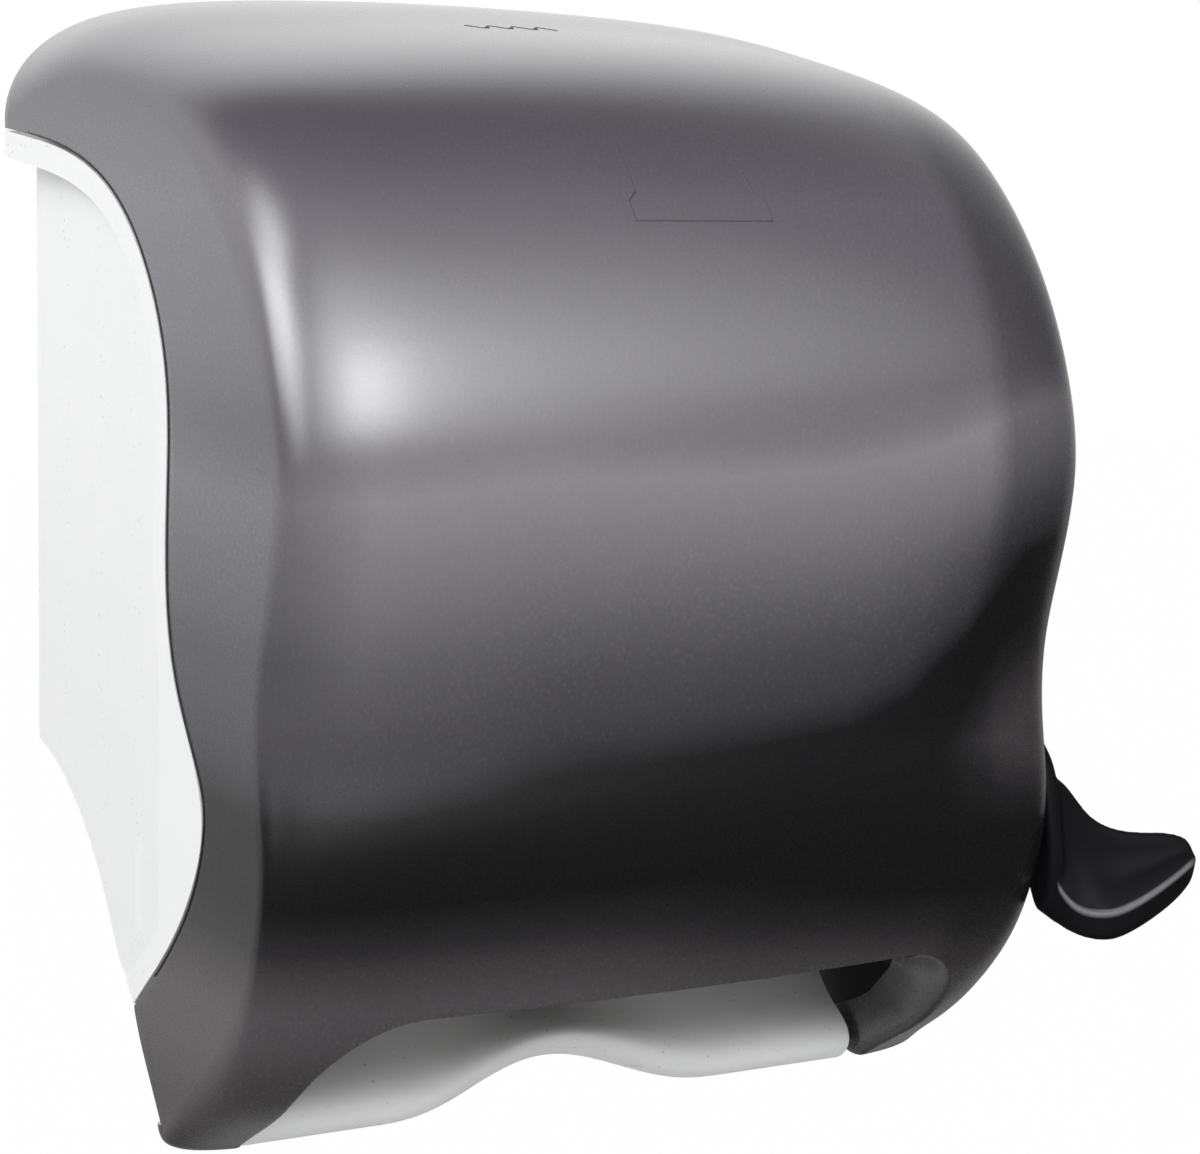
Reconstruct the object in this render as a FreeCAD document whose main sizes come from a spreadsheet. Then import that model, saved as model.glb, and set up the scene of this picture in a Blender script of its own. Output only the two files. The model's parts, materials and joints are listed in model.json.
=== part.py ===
"""Lever paper towel dispenser for a wall: a parametric FreeCAD document.

Frame: the origin is the middle of the four wall screw holes, on the wall plane.
+X is to the right, -Y points out of the wall to the user, +Z is up.  Millimetres.
"Reach" below means the distance out of the wall, so reach = -Y.
"""
import FreeCAD, Part
import math
import os
import Sketcher

doc = FreeCAD.newDocument("lever_towel_dispenser")

# ---------------------------------------------------------------- driving sizes
SIZES = {
    # towel roll and the hubs that carry it
    "roll_reach": 101.0, "roll_height": 28.0,
    "hub_radius": 18.5, "hub_depth": 13.0, "hub_flange_radius": 24.0, "hub_flange_thick": 3.0,
    "hub_pin_radius": 3.9, "hub_gap": 0.4,
    # housing
    "housing_wall": 2.5, "back_plate": 3.0, "wall_half_width": 131.0, "width_taper": 2.0,
    "taper_reach": 192.0, "scoop_half_width": 121.0, "scoop_reach": 116.0, "rim_width": 8.0,
    "back_top": 142.0, "back_half_width": 94.0, "hole_pitch_x": 150.0, "hole_pitch_z": 130.0,
    "wall_hole_radius": 2.8, "screw_pad_radius": 9.0, "screw_pad_thick": 1.5,
    # cover
    "cover_wall": 2.5, "cover_gap": 0.8, "exit_half_width": 108.0, "exit_top": -125.0,
    "exit_corner": 28.0, "return_wall": 2.5, "hinge_reach": 112.0, "hinge_height": -168.0,
    "hinge_pin_radius": 2.5, "hinge_lug_radius": 7.0, "hinge_pin_length": 12.0,
    # chin
    "chin_half_width": 104.0, "chin_wall": 2.5, "wave_height": 13.0, "wave_half_width": 54.0,
    "chin_flange": 10.0,
    # mechanism frames, feed roller, pressure roller and tear bar
    "frame_half_gap": 104.0, "frame_thick": 3.0, "feed_reach": 128.0, "feed_height": -112.0,
    "feed_radius": 22.5, "feed_core_radius": 20.0, "grip_seat_radius": 19.0, "feed_length": 196.0,
    "grip_width": 26.0, "grip_pitch": 76.0, "shaft_radius": 4.0, "bushing_radius": 6.5,
    "bushing_flange": 9.0, "bushing_flange_thick": 1.5, "running_gap": 0.06,
    "press_radius": 9.5, "press_shaft_radius": 2.5, "nip_gap": 0.3, "nip_rise": 20.8,
    "press_block": 14.0, "bar_gap": 5.5, "bar_depth": 12.0, "bar_thick": 8.0, "frame_lap": 4.0,
    "blade_thick": 1.0, "blade_drop": 13.0, "tooth_pitch": 5.2, "tooth_height": 3.0,
    "spring_radius": 2.2, "spring_wire": 0.35, "spring_length": 11.8, "spring_turns": 7.0,
    # lever and gears
    "gear_module": 1.2, "pinion_teeth": 16.0, "sector_teeth": 80.0, "sector_width": 6.0,
    "pinion_width": 8.0, "pinion_start": 107.5, "lever_shaft_radius": 6.0, "lever_angle": 45.0,
    "lever_reach": 108.0, "arm_start": 133.5, "arm_thick": 6.0, "arm_boss_radius": 13.0,
    "boss_radius": 12.0, "boss_start": 118.0, "lever_bushing_radius": 8.5, "sector_hub_radius": 11.0,
    "coil_radius": 7.6, "coil_wire": 0.45, "coil_turns": 2.5,
    # roll arms
    "roll_arm_start": 103.5, "roll_arm_thick": 3.0, "roll_arm_height": 34.0, "knuckle_radius": 5.0,
    "knuckle_reach": 10.0, "arm_pin_radius": 2.0, "bracket_ear": 5.0, "bracket_foot": 1.6,
    # key latch
    "latch_reach": 77.0, "latch_half_width": 12.0, "latch_thick": 2.6, "latch_gap": 0.4,
    "latch_throw": 4.0, "guide_ledge": 1.2,
    "key_slot_half": 16.0, "key_slot_width": 2.5, "catch_half_width": 6.0, "catch_thick": 3.0,
    "catch_reach": 66.0, "catch_height": 126.0, "catch_tip": 138.0, "guide_wall": 2.5,
    # screws and shaft clips
    "screw_radius": 1.4, "screw_head_radius": 2.6, "screw_head": 1.6, "screw_length": 9.0,
    "clip_thick": 0.8, "clip_reach": 2.4, "ear_thick": 2.5, "ear_gap": 0.3,
}

sheet = doc.addObject("Spreadsheet::Sheet", "Sizes")


class Size:
    """A number that also remembers the sheet expression it comes from."""

    def __init__(self, value, text):
        self.value = float(value)
        self.text = text

    def join(self, other, sign, turned=False):
        """Combine two sizes, or a size and a number, with one of + - * /."""
        if not isinstance(other, Size):
            other = Size(other, "%.6g" % other)
        one, two = (other, self) if turned else (self, other)
        value = {"+": lambda: one.value + two.value, "-": lambda: one.value - two.value,
                 "*": lambda: one.value * two.value, "/": lambda: one.value / two.value}[sign]()
        return Size(value, "(%s %s %s)" % (one.text, sign, two.text))

    def __add__(self, other):
        return self.join(other, "+")

    def __radd__(self, other):
        return self.join(other, "+", True)

    def __sub__(self, other):
        return self.join(other, "-")

    def __rsub__(self, other):
        return self.join(other, "-", True)

    def __mul__(self, other):
        return self.join(other, "*")

    def __rmul__(self, other):
        return self.join(other, "*", True)

    def __truediv__(self, other):
        return self.join(other, "/")

    def __neg__(self):
        return self.join(-1, "*")

    def root(self):
        """Square root."""
        return Size(math.sqrt(self.value), "sqrt(%s)" % self.text)


class Named:
    """The driving sizes as attributes."""


S = Named()
for row, (alias, number) in enumerate(SIZES.items(), start=1):
    sheet.set("A%d" % row, alias)
    sheet.set("B%d" % row, repr(number))
    sheet.setAlias("B%d" % row, alias)
    setattr(S, alias, Size(number, "Sizes." + alias))
doc.recompute()


def val(size):
    """The plain number of a size or a number."""
    return size.value if isinstance(size, Size) else float(size)


# Places that follow from the driving sizes.
GEAR_DISTANCE = (S.pinion_teeth + S.sector_teeth) * S.gear_module / 2
LEVER_BACK = S.feed_reach - S.lever_reach
LEVER_HEIGHT = S.feed_height + (GEAR_DISTANCE * GEAR_DISTANCE - LEVER_BACK * LEVER_BACK).root()
NIP_DISTANCE = S.feed_radius + S.press_radius + S.nip_gap
PRESS_REACH = S.feed_reach - (NIP_DISTANCE * NIP_DISTANCE - S.nip_rise * S.nip_rise).root()
PRESS_HEIGHT = S.feed_height + S.nip_rise
FRAME_OUT = S.frame_half_gap + S.frame_thick
BAR_REACH = S.feed_reach + S.feed_radius + S.bar_gap + S.bar_depth / 2
BAR_FRONT = BAR_REACH + S.bar_depth / 2
SECTOR_END = S.pinion_start + 1 + S.sector_width
COIL_GAP = 0.3
SPRING_START = PRESS_REACH - S.press_block / 2 - S.spring_length


def bind(thing, prop, size):
    """Tie one property of a document object to the sheet."""
    if isinstance(size, Size):
        thing.setExpression(prop, size.text)
    else:
        setattr(thing, prop, size)


# ---------------------------------------------------------------- outlines
# Side edge of the cover from the wall over the top to the lower lip.  Each station:
# reach, height, lean of the dome's outward direction from vertical (degrees),
# rise of the gentle arch, depth of the rounded corner, and how tight that corner is.
STATIONS = [
    (0, 115, 0, 6.5, 32.5, 6), (36, 125, 4, 6, 20, 7), (70, 126, 12, 8, 12, 8),
    (102, 118.5, 23, 10, 13, 8), (131, 107.5, 35, 11, 15, 8), (155, 88, 47, 11, 17, 8),
    (174, 64, 60, 12, 15, 9), (186, 38, 76, 13, 12, 10), (189, 15, 93, 13, 11, 10),
    (184, -10, 104, 13, 10, 10), (178.5, -33, 98, 13, 9, 10), (178, -55, 86, 13, 9, 10),
    (181, -75, 86, 12, 9, 10), (180, -94, 101, 10, 9, 11), (171, -116, 118, 8, 11, 12),
    (158, -132, 132, 6, 13, 12), (144, -145, 139, 5, 13, 12), (130, -157, 140, 4, 10, 14),
    (119, -168, 136, 3, 6, 16)]

# Seam between the cover and the housing rim, from the wall at the top to the lower front.
SEAM = [(0, 111.5), (45, 106.5), (82, 95), (107, 74), (120.5, 45), (121, 12), (121, -16),
        (128, -40), (141, -60), (145.5, -74), (139, -93), (122, -114), (98, -135)]

# Underside of the housing, from the wall to the chin.
FLOOR = [(0, -75), (24, -81), (51, -96), (69, -113), (81, -127)]

# Lower back edge of the cover below the seam.
COVER_HEEL = [(98, -135), (103, -144.5), (110, -154.5), (118, -165.5), (126, -169.5)]

# Outer face of the chin from its top edge over the nose to the bottom.
CHIN = [(81, -127), (97, -146), (109, -159), (117, -164.5), (119.5, -169), (116, -175),
        (108, -178), (98, -176)]


def point(reach, height, x=0.0):
    """A point given by its reach out of the wall."""
    return FreeCAD.Vector(x, -reach, height)


def half_width(reach):
    """Half width of the body, a little narrower to the front so it leaves its mould."""
    return S.wall_half_width.value - S.width_taper.value * reach / S.taper_reach.value


def spline(points):
    """One smooth curve through the points."""
    curve = Part.BSplineCurve()
    curve.interpolate(points)
    return curve


def line(start, end):
    """A straight edge."""
    return Part.makeLine(start, end)


def side_prism(edges, low, high):
    """Closed side outline at X = low, carried along X to high."""
    wire = Part.Wire(edges)
    face = Part.Face(wire)
    face.translate(FreeCAD.Vector(low, 0, 0))
    return face.extrude(FreeCAD.Vector(high - low, 0, 0))


def polygon_prism(points, low, high):
    """Straight-sided (reach, height) outline carried along X."""
    corners = [point(*p) for p in points]
    return side_prism([line(a, b) for a, b in zip(corners, corners[1:] + corners[:1])], low, high)


def plan_prism(points, low, high):
    """(x, reach) outline carried along Z."""
    corners = [FreeCAD.Vector(x, -reach, low) for x, reach in points]
    wire = Part.makePolygon(corners + corners[:1])
    return Part.Face(wire).extrude(FreeCAD.Vector(0, 0, high - low))


def x_rod(radius, reach, height, low, high):
    """Round bar along X."""
    return Part.makeCylinder(val(radius), high - low, point(reach, height, low), FreeCAD.Vector(1, 0, 0))


def feature(label, shape):
    """A sub-part whose shape is made with Part's own functions."""
    part = doc.addObject("Part::Feature", label)
    part.Label = label
    part.Shape = shape.removeSplitter() if len(shape.Solids) == 1 else shape
    part.Placement = FreeCAD.Placement()
    subparts.append(part)
    return part


subparts = []


# ---------------------------------------------------------------- PartDesign helpers
def new_body(label):
    """A PartDesign body that is one sub-part."""
    body = doc.addObject("PartDesign::Body", label)
    body.Label = label
    subparts.append(body)
    return body


def plane_of(body, role):
    """One of the body's own origin planes."""
    return next(f for f in body.Origin.OriginFeatures if f.Role == role)


def new_sketch(body, role, offset=0):
    """A sketch on an origin plane, moved along the plane's normal."""
    sketch = body.newObject("Sketcher::SketchObject", body.Label + "_sketch")
    sketch.AttachmentSupport = [(plane_of(body, role), "")]
    sketch.MapMode = "FlatFace"
    if isinstance(offset, Size):
        sketch.setExpression("AttachmentOffset.Base.z", offset.text)
        sketch.AttachmentOffset.Base.z = offset.value
    else:
        sketch.AttachmentOffset = FreeCAD.Placement(FreeCAD.Vector(0, 0, offset), FreeCAD.Rotation())
    return sketch


def pin_point(sketch, geometry, end, across, up):
    """Hold one sketch point by its distances from the origin."""
    for kind, size in (("DistanceX", across), ("DistanceY", up)):
        number = sketch.addConstraint(Sketcher.Constraint(kind, -1, 1, geometry, end, val(size)))
        if isinstance(size, Size):
            sketch.setExpression("Constraints[%d]" % number, size.text)


def draw_polygon(sketch, corners):
    """Closed outline whose corners are tied to the sheet."""
    first = sketch.GeometryCount
    count = len(corners)
    flat = [FreeCAD.Vector(val(a), val(b), 0) for a, b in corners]
    for i in range(count):
        sketch.addGeometry(Part.LineSegment(flat[i], flat[(i + 1) % count]), False)
    for i in range(count):
        sketch.addConstraint(Sketcher.Constraint("Coincident", first + i, 2, first + (i + 1) % count, 1))
    for i, (across, up) in enumerate(corners):
        pin_point(sketch, first + i, 1, across, up)


def draw_circle(sketch, across, up, radius):
    """Circle with a tied centre and radius."""
    centre = FreeCAD.Vector(val(across), val(up), 0)
    number = sketch.addGeometry(Part.Circle(centre, FreeCAD.Vector(0, 0, 1), val(radius)), False)
    pin_point(sketch, number, 3, across, up)
    rule = sketch.addConstraint(Sketcher.Constraint("Radius", number, val(radius)))
    if isinstance(radius, Size):
        sketch.setExpression("Constraints[%d]" % rule, radius.text)


def pad(body, sketch, length, both=False):
    """Pad a sketch along its normal, or half to each side."""
    made = body.newObject("PartDesign::Pad", body.Label + "_pad")
    made.Profile = sketch
    bind(made, "Length", length)
    made.Midplane = both
    sketch.Visibility = False
    return made


def pocket(body, sketch):
    """Cut a sketch right through, to both sides of its plane."""
    doc.recompute()
    before = body.Shape.Volume
    made = body.newObject("PartDesign::Pocket", body.Label + "_pocket")
    made.Profile = sketch
    made.Type = 1
    made.Midplane = True
    doc.recompute()
    if body.Shape.Volume >= before:
        raise RuntimeError(body.Label + ": the pocket cuts nothing")
    return made


def turned(label, steps, start, reach, height, bore=0):
    """Round piece on an axis along X: steps are (length, radius), from X = start."""
    body = new_body(label)
    sketch = new_sketch(body, "XY_Plane")
    x = start
    corners = [(x, bore)]
    for length, radius in steps:
        corners.append((x, radius))
        x = x + length
        corners.append((x, radius))
    corners.append((x, bore))
    draw_polygon(sketch, corners)
    spun = body.newObject("PartDesign::Revolution", label + "_turn")
    spun.Profile = sketch
    spun.ReferenceAxis = (sketch, ["H_Axis"])
    spun.Angle = 360
    place(body, -reach, height)
    return body


def place(body, y, z):
    """Put a piece at its axis."""
    body.Placement = FreeCAD.Placement(FreeCAD.Vector(0, val(y), val(z)), FreeCAD.Rotation())
    for axis, size in (("y", y), ("z", z)):
        if isinstance(size, Size):
            body.setExpression("Placement.Base." + axis, size.text)


def edge_between(shape, one, two):
    """The edge of a shape that joins two corners."""
    return next(e for e in shape.Edges
                if min((e.firstVertex().Point - one).Length, (e.lastVertex().Point - one).Length) < 1e-3
                and min((e.firstVertex().Point - two).Length, (e.lastVertex().Point - two).Length) < 1e-3)


def net_surface(grid):
    """Smooth cubic surface that follows a net of points and ends on its border points."""
    knots, mults = [], []
    for count in (len(grid), len(grid[0])):
        knots.append([float(i) for i in range(count - 2)])
        mults.append([4] + [1] * (count - 4) + [4])
    surface = Part.BSplineSurface()
    surface.buildFromPolesMultsKnots(grid, mults[0], mults[1], knots[0], knots[1], False, False, 3, 3)
    return surface.toShape()


def closed_solid(faces):
    """Sew faces that close a space into one solid."""
    shell = Part.Shell(Part.makeShell(faces).Faces)
    shell.sewShape()
    solid = Part.Solid(shell)
    solid.fix(1e-4, 1e-4, 1e-3)
    if solid.Volume < 0:
        solid.reverse()
    return solid


# ---------------------------------------------------------------- cover
def dome_grid(inset, columns=9):
    """Points of the dome: each station's arch, sampled finely towards its corners."""
    grid = []
    for reach, height, lean, rise, corner, tight in STATIONS:
        out = FreeCAD.Vector(0, -math.sin(math.radians(lean)), math.cos(math.radians(lean)))
        row = []
        for i in range(-columns, columns + 1):
            share = math.sin(0.5 * math.pi * i / columns)
            lift = rise * (1 - share ** 2) + corner * math.sqrt(max(0.0, 1 - abs(share) ** tight))
            x = share * (half_width(reach + out.y * inset) - inset)
            row.append(point(reach, height, x) + out * (lift - inset))
        grid.append(row)
    return grid


def dome_solid(inset):
    """Closed solid under the dome, back to the wall and down to the last station."""
    surface = Part.BSplineSurface()
    surface.interpolate(dome_grid(inset))
    dome = surface.toShape()
    grid = dome_grid(inset)
    faces = [dome]
    low_left, low_right = grid[-1][0], grid[-1][-1]
    top_left, top_right = grid[0][0], grid[0][-1]
    back_left = FreeCAD.Vector(low_left.x, top_left.y, low_left.z)
    back_right = FreeCAD.Vector(low_right.x, top_right.y, low_right.z)
    back_left.x, back_right.x = top_left.x, top_right.x

    left, right = edge_between(dome, top_left, low_left), edge_between(dome, top_right, low_right)
    top, low = edge_between(dome, top_left, top_right), edge_between(dome, low_left, low_right)
    faces.append(Part.Face(Part.Wire([left, line(low_left, back_left), line(back_left, top_left)])))
    faces.append(Part.Face(Part.Wire([right, line(low_right, back_right), line(back_right, top_right)])))
    faces.append(Part.Face(Part.Wire([top, line(top_right, back_right), line(back_right, back_left),
                                      line(back_left, top_left)])))
    faces.append(Part.Face(Part.Wire([low, line(low_left, low_right)])))
    faces.append(Part.Face(Part.makePolygon([low_left, low_right, back_right, back_left, low_left])))
    return closed_solid(faces)


def seam_edges(gap):
    """The seam curve moved out by a gap towards the cover."""
    curve = spline([point(*p) for p in SEAM])
    moved = []
    steps = 2 * len(SEAM)
    for i in range(steps + 1):
        at = curve.FirstParameter + (curve.LastParameter - curve.FirstParameter) * i / steps
        ahead = curve.tangent(at)[0]
        moved.append(curve.value(at) + FreeCAD.Vector(0, -ahead.z, ahead.y) * -gap)
    return moved


def exit_opening(low, high):
    """Prism along Y over the paper exit: straight lip with round ends."""
    half, top, corner = S.exit_half_width.value, S.exit_top.value, S.exit_corner.value
    floor = S.hinge_height.value - 30
    reach = -low
    spots = [(-half, floor), (-half, top - corner), (-half + corner, top), (half - corner, top),
             (half, top - corner), (half, floor)]
    spots = [FreeCAD.Vector(x, reach, z) for x, z in spots]
    diagonal = corner * (1 - math.sqrt(0.5))
    edges = [line(spots[0], spots[1]),
             Part.Arc(spots[1], FreeCAD.Vector(-half + diagonal, reach, top - diagonal), spots[2]).toShape(),
             line(spots[2], spots[3]),
             Part.Arc(spots[3], FreeCAD.Vector(half - diagonal, reach, top - diagonal), spots[4]).toShape(),
             line(spots[4], spots[5]), line(spots[5], spots[0])]
    return Part.Face(Part.Wire(edges)).extrude(FreeCAD.Vector(0, low - high, 0))


def key_slot():
    """Saw-toothed slot for the flat key: four slanted runs that widen where they step back."""
    half, width, reach = S.key_slot_half.value, S.key_slot_width.value, S.latch_reach.value
    pitch, thin, step = half / 2, width / 3, width / 2
    near, far = [], []
    for i in range(4):
        x = -half + i * pitch
        near += [(x, reach), (x + pitch, reach + width - thin)]
        far += [(x + step * min(i, 1), reach + thin), (x + pitch + step * min(3 - i, 1), reach + width)]
    return plan_prism(near + far[::-1], S.catch_height.value, 200)


def cover_shell():
    """Smoky shell: dome, side flanges cut to the seam, paper exit and the two return walls."""
    wall = S.cover_wall.value
    outer = dome_solid(0.0)
    inner = dome_solid(wall)
    shell = outer.cut(inner)
    width = half_width(0) - wall
    floor = STATIONS[-1][1]
    bottom = Part.makeBox(2 * width, 200, 40, FreeCAD.Vector(-width, -STATIONS[-1][0], floor - 39.9 + wall))
    shell = shell.cut(bottom)
    back = seam_edges(S.cover_gap.value)
    heel = [point(*p) for p in COVER_HEEL[1:]]
    corner_low = point(COVER_HEEL[-1][0], -230)
    corner_back = point(-30, -230)
    corner_top = point(-30, back[0].z)
    edges = [spline(back).toShape(), line(back[-1], heel[0]), spline(heel).toShape(),
             line(heel[-1], corner_low), line(corner_low, corner_back), line(corner_back, corner_top),
             line(corner_top, back[0])]
    shell = shell.cut(side_prism(edges, -160, 160))
    shell = shell.cut(exit_opening(60, 260))
    half = S.exit_half_width.value
    thick = S.return_wall.value
    hinge = (S.hinge_reach.value, S.hinge_height.value)
    edge = [(170, -138), (138, -143), (131, -149), (118, -156), (108, -159), (104, -163),
            (104, -176), (125, -176), (170, -150)]
    for side in (-1, 1):
        low, high = sorted((side * half, side * (half - thick)))
        web = polygon_prism(edge, low, high).common(outer)
        lug = x_rod(S.hinge_lug_radius, hinge[0], hinge[1], low, high)
        hole = x_rod(S.hinge_pin_radius, hinge[0], hinge[1], low - 1, high + 1)
        shell = shell.fuse(web.fuse(lug)).cut(hole)
    shell = shell.cut(key_slot())
    return feature("cover_shell", max(shell.Solids, key=lambda s: s.Volume))


# ---------------------------------------------------------------- housing
def scoop_plan(inset, start=0.0):
    """Plan of the housing sides: scooped inwards towards the wall, full width at the seam."""
    near, merge, far = S.scoop_half_width.value - inset, S.scoop_reach.value, 220.0
    right = [(near, start), (half_width(merge) - inset, merge), (half_width(far) - inset, far)]
    return right + [(-x, reach) for x, reach in reversed(right)]


def offset_path(points, shift):
    """Open (reach, height) path moved to its left by a distance, corner by corner."""
    moved = []
    for i, (reach, height) in enumerate(points):
        before, after = points[max(i - 1, 0)], points[min(i + 1, len(points) - 1)]
        run, climb = after[0] - before[0], after[1] - before[1]
        span = math.hypot(run, climb)
        moved.append((reach - climb / span * shift, height + run / span * shift))
    return moved


def floor_edges(points):
    """Curved floor line with a straight last stretch that the chin hangs from."""
    spots = [point(*p) for p in points]
    return [spline(spots[:-1]).toShape(), line(spots[-2], spots[-1])]


def housing():
    """White moulded housing: back plate, floor, scooped sides, seam rims, ears and bosses."""
    wall, plate = S.housing_wall.value, S.back_plate.value
    seam = [point(*p) for p in SEAM]
    floor = [point(*p) for p in FLOOR]
    outline = [spline(seam).toShape(), line(seam[-1], floor[-1])]
    outline += floor_edges(FLOOR)[::-1] + [line(floor[0], seam[0])]
    block = side_prism(outline, -160, 160).common(plan_prism(scoop_plan(0), -200, 200))
    inside = offset_path(FLOOR, wall)
    inside = [(plate, inside[0][1])] + inside[1:] + [(100, -132.5), (220, -132.5), (220, 220), (plate, 220)]
    room = polygon_prism(inside, -160, 160).common(plan_prism(scoop_plan(wall, plate), -200, 200))
    solid = block.cut(room)
    clear_floor = polygon_prism([(81, -110), (81, -150), (130, -150), (130, -110)],
                                -S.exit_half_width.value - 4, S.exit_half_width.value + 4)
    solid = solid.cut(clear_floor)
    # rim along the seam, proud of the scooped sides
    curve = spline(seam)
    inner = []
    steps = 2 * len(SEAM)
    for i in range(steps + 1):
        at = curve.FirstParameter + (curve.LastParameter - curve.FirstParameter) * i / steps
        ahead = curve.tangent(at)[0]
        inner.append(curve.value(at) + FreeCAD.Vector(0, -ahead.z, ahead.y) * S.rim_width.value)
    band = side_prism([curve.toShape(), line(seam[-1], inner[-1]), spline(inner).toShape(),
                       line(inner[0], seam[0])], -160, 160)
    full = [(half_width(0), 0), (half_width(220), 220), (-half_width(220), 220), (-half_width(0), 0)]
    band = band.common(plan_prism(full, -200, 200)).cut(plan_prism(scoop_plan(wall, -10), -200, 200))
    behind = Part.makeBox(400, 50, 400, FreeCAD.Vector(-200, 0, -200))
    solid = solid.fuse(band).cut(behind)
    # back plate up inside the crown of the cover
    half, top = S.scoop_half_width.value - wall, S.back_top.value
    crown = S.back_half_width.value
    corners = [(-half, FLOOR[0][1]), (half, FLOOR[0][1]), (half, SEAM[0][1]), (half - 6, SEAM[0][1] + 18),
               (crown, top), (-crown, top), (-half + 6, SEAM[0][1] + 18), (-half, SEAM[0][1])]
    wire = Part.makePolygon([FreeCAD.Vector(x, 0, z) for x, z in corners + corners[:1]])
    solid = solid.fuse(Part.Face(wire).extrude(FreeCAD.Vector(0, -plate, 0)))
    # inner ears that stiffen the lower corners behind the cover
    ear = [(88, -112), (96, -128), (112, -155), (126, -152), (146, -134), (160, -116), (164, -96),
           (150, -84), (128, -78), (100, -84)]
    root = [(96, -112), (104, -116), (118, -100), (128, -86), (110, -80), (96, -88)]
    ear_out = half_width(max(reach for reach, height in ear)) - S.cover_wall.value - S.ear_gap.value
    ear_in = ear_out - S.ear_thick.value
    for side in (-1, 1):
        low, high = sorted((side * ear_in, side * ear_out))
        solid = solid.fuse(polygon_prism(ear, low, high))
        low, high = sorted((side * ear_in, side * (half_width(root[3][0]) - 1)))
        solid = solid.fuse(polygon_prism(root, low, high))
    # screw pads and wall holes
    for x in (-S.hole_pitch_x.value / 2, S.hole_pitch_x.value / 2):
        for z in (-S.hole_pitch_z.value / 2, S.hole_pitch_z.value / 2):
            pad_shape = Part.makeCylinder(S.screw_pad_radius.value, plate + S.screw_pad_thick.value,
                                          FreeCAD.Vector(x, 0, z), FreeCAD.Vector(0, -1, 0))
            hole = Part.makeCylinder(S.wall_hole_radius.value, 30, FreeCAD.Vector(x, 5, z),
                                     FreeCAD.Vector(0, -1, 0))
            solid = solid.fuse(pad_shape).cut(hole)
    for x, z in bracket_holes():
        solid = solid.cut(reach_rod(S.screw_radius, x, z, -1, plate + 1))
    # lever boss in the right side
    lever = (S.lever_reach.value, LEVER_HEIGHT.value)
    boss_out = S.arm_start.value - 2
    solid = solid.fuse(x_rod(S.boss_radius, *lever, S.boss_start.value, boss_out))
    solid = solid.cut(x_rod(S.lever_bushing_radius, *lever, 100, boss_out + 5))
    leg = spring_leg_place()
    solid = solid.cut(x_rod(S.coil_wire + S.running_gap, *leg, S.boss_start.value - 1, S.boss_start.value + 3))
    return feature("housing", solid)


def wave(x):
    """Rise of the chin's lower edge: one smooth hump in the middle."""
    share = min(1.0, abs(x) / S.wave_half_width.value)
    return S.wave_height.value * 0.5 * (1 + math.cos(math.pi * share))


def lifted(spot, x):
    """A chin point moved up and back by the wave, the more the lower it lies."""
    reach, height = spot
    share = min(1.0, max(0.0, (-146 - height) / 24))
    return point(reach - 0.4 * wave(x) * share, height + wave(x) * share, x)


def chin_block(path, low_back, top_back):
    """Solid behind one chin surface, closed by flat faces through two points at the back."""
    half = S.chin_half_width.value
    count = 24
    grid = [[lifted(p, -half + 2 * half * i / count) for p in path] for i in range(count + 1)]
    skin = net_surface(grid)
    top, low = (grid[0][0], grid[-1][0]), (grid[0][-1], grid[-1][-1])
    low_out = [point(*low_back, x) for x in (-half, half)]
    top_out = [point(*top_back, x) for x in (-half, half)]
    faces = [skin, Part.Face(Part.makePolygon([low_out[0], low_out[1], top_out[1], top_out[0], low_out[0]]))]
    for i in (0, 1):
        faces.append(Part.Face(Part.Wire([edge_between(skin, top[i], low[i]), line(low[i], low_out[i]),
                                          line(low_out[i], top_out[i]), line(top_out[i], top[i])])))
    for near, back in ((low, low_out), (top, top_out)):
        faces.append(Part.Face(Part.Wire([edge_between(skin, near[0], near[1]), line(near[1], back[1]),
                                          line(back[1], back[0]), line(back[0], near[0])])))
    return closed_solid(faces)


def chin():
    """White lower front: an apron the towel slides down, a rolled nose with a waved edge."""
    wall = S.chin_wall.value
    half = S.chin_half_width.value
    outer = [(-p.y, p.z) for p in spline([point(*p) for p in CHIN]).discretize(26)]
    inner = offset_path(outer, -wall)
    last = [FLOOR[-2], FLOOR[-1]]
    under = offset_path(last, -wall)
    run, drop = last[1][0] - last[0][0], last[1][1] - last[0][1]
    share = S.chin_flange.value / math.hypot(run, drop)
    low = CHIN[-1]
    block = chin_block(outer, (low[0] - 15.2, low[1] + 38), under[1])
    above = (under[1][0] - 1.9, under[1][1] + 2.3)
    beyond = (inner[-1][0] - 6.5, inner[-1][1] + 1.2)
    room = chin_block([above] + inner[1:] + [beyond], (beyond[0] - 12, beyond[1] + 30), (70, -132))
    solid = block.cut(room)
    for side in (-1, 1):
        ends = Part.makeBox(wall, 100, 100, FreeCAD.Vector(side * (half - wall / 2) - wall / 2, -150, -200))
        solid = solid.fuse(block.common(ends))
    flange = [(last[1][0] - run * share, last[1][1] - drop * share), last[1], (82, -129.2), (80.5, -130.5),
              under[1], (under[1][0] - run * share, under[1][1] - drop * share)]
    solid = solid.fuse(polygon_prism(flange, -half, half))
    solid = solid.cut(x_rod(S.hinge_pin_radius + S.running_gap, S.hinge_reach.value, S.hinge_height.value,
                            -half - 1, half + 1))
    return feature("chin", solid)


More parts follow.
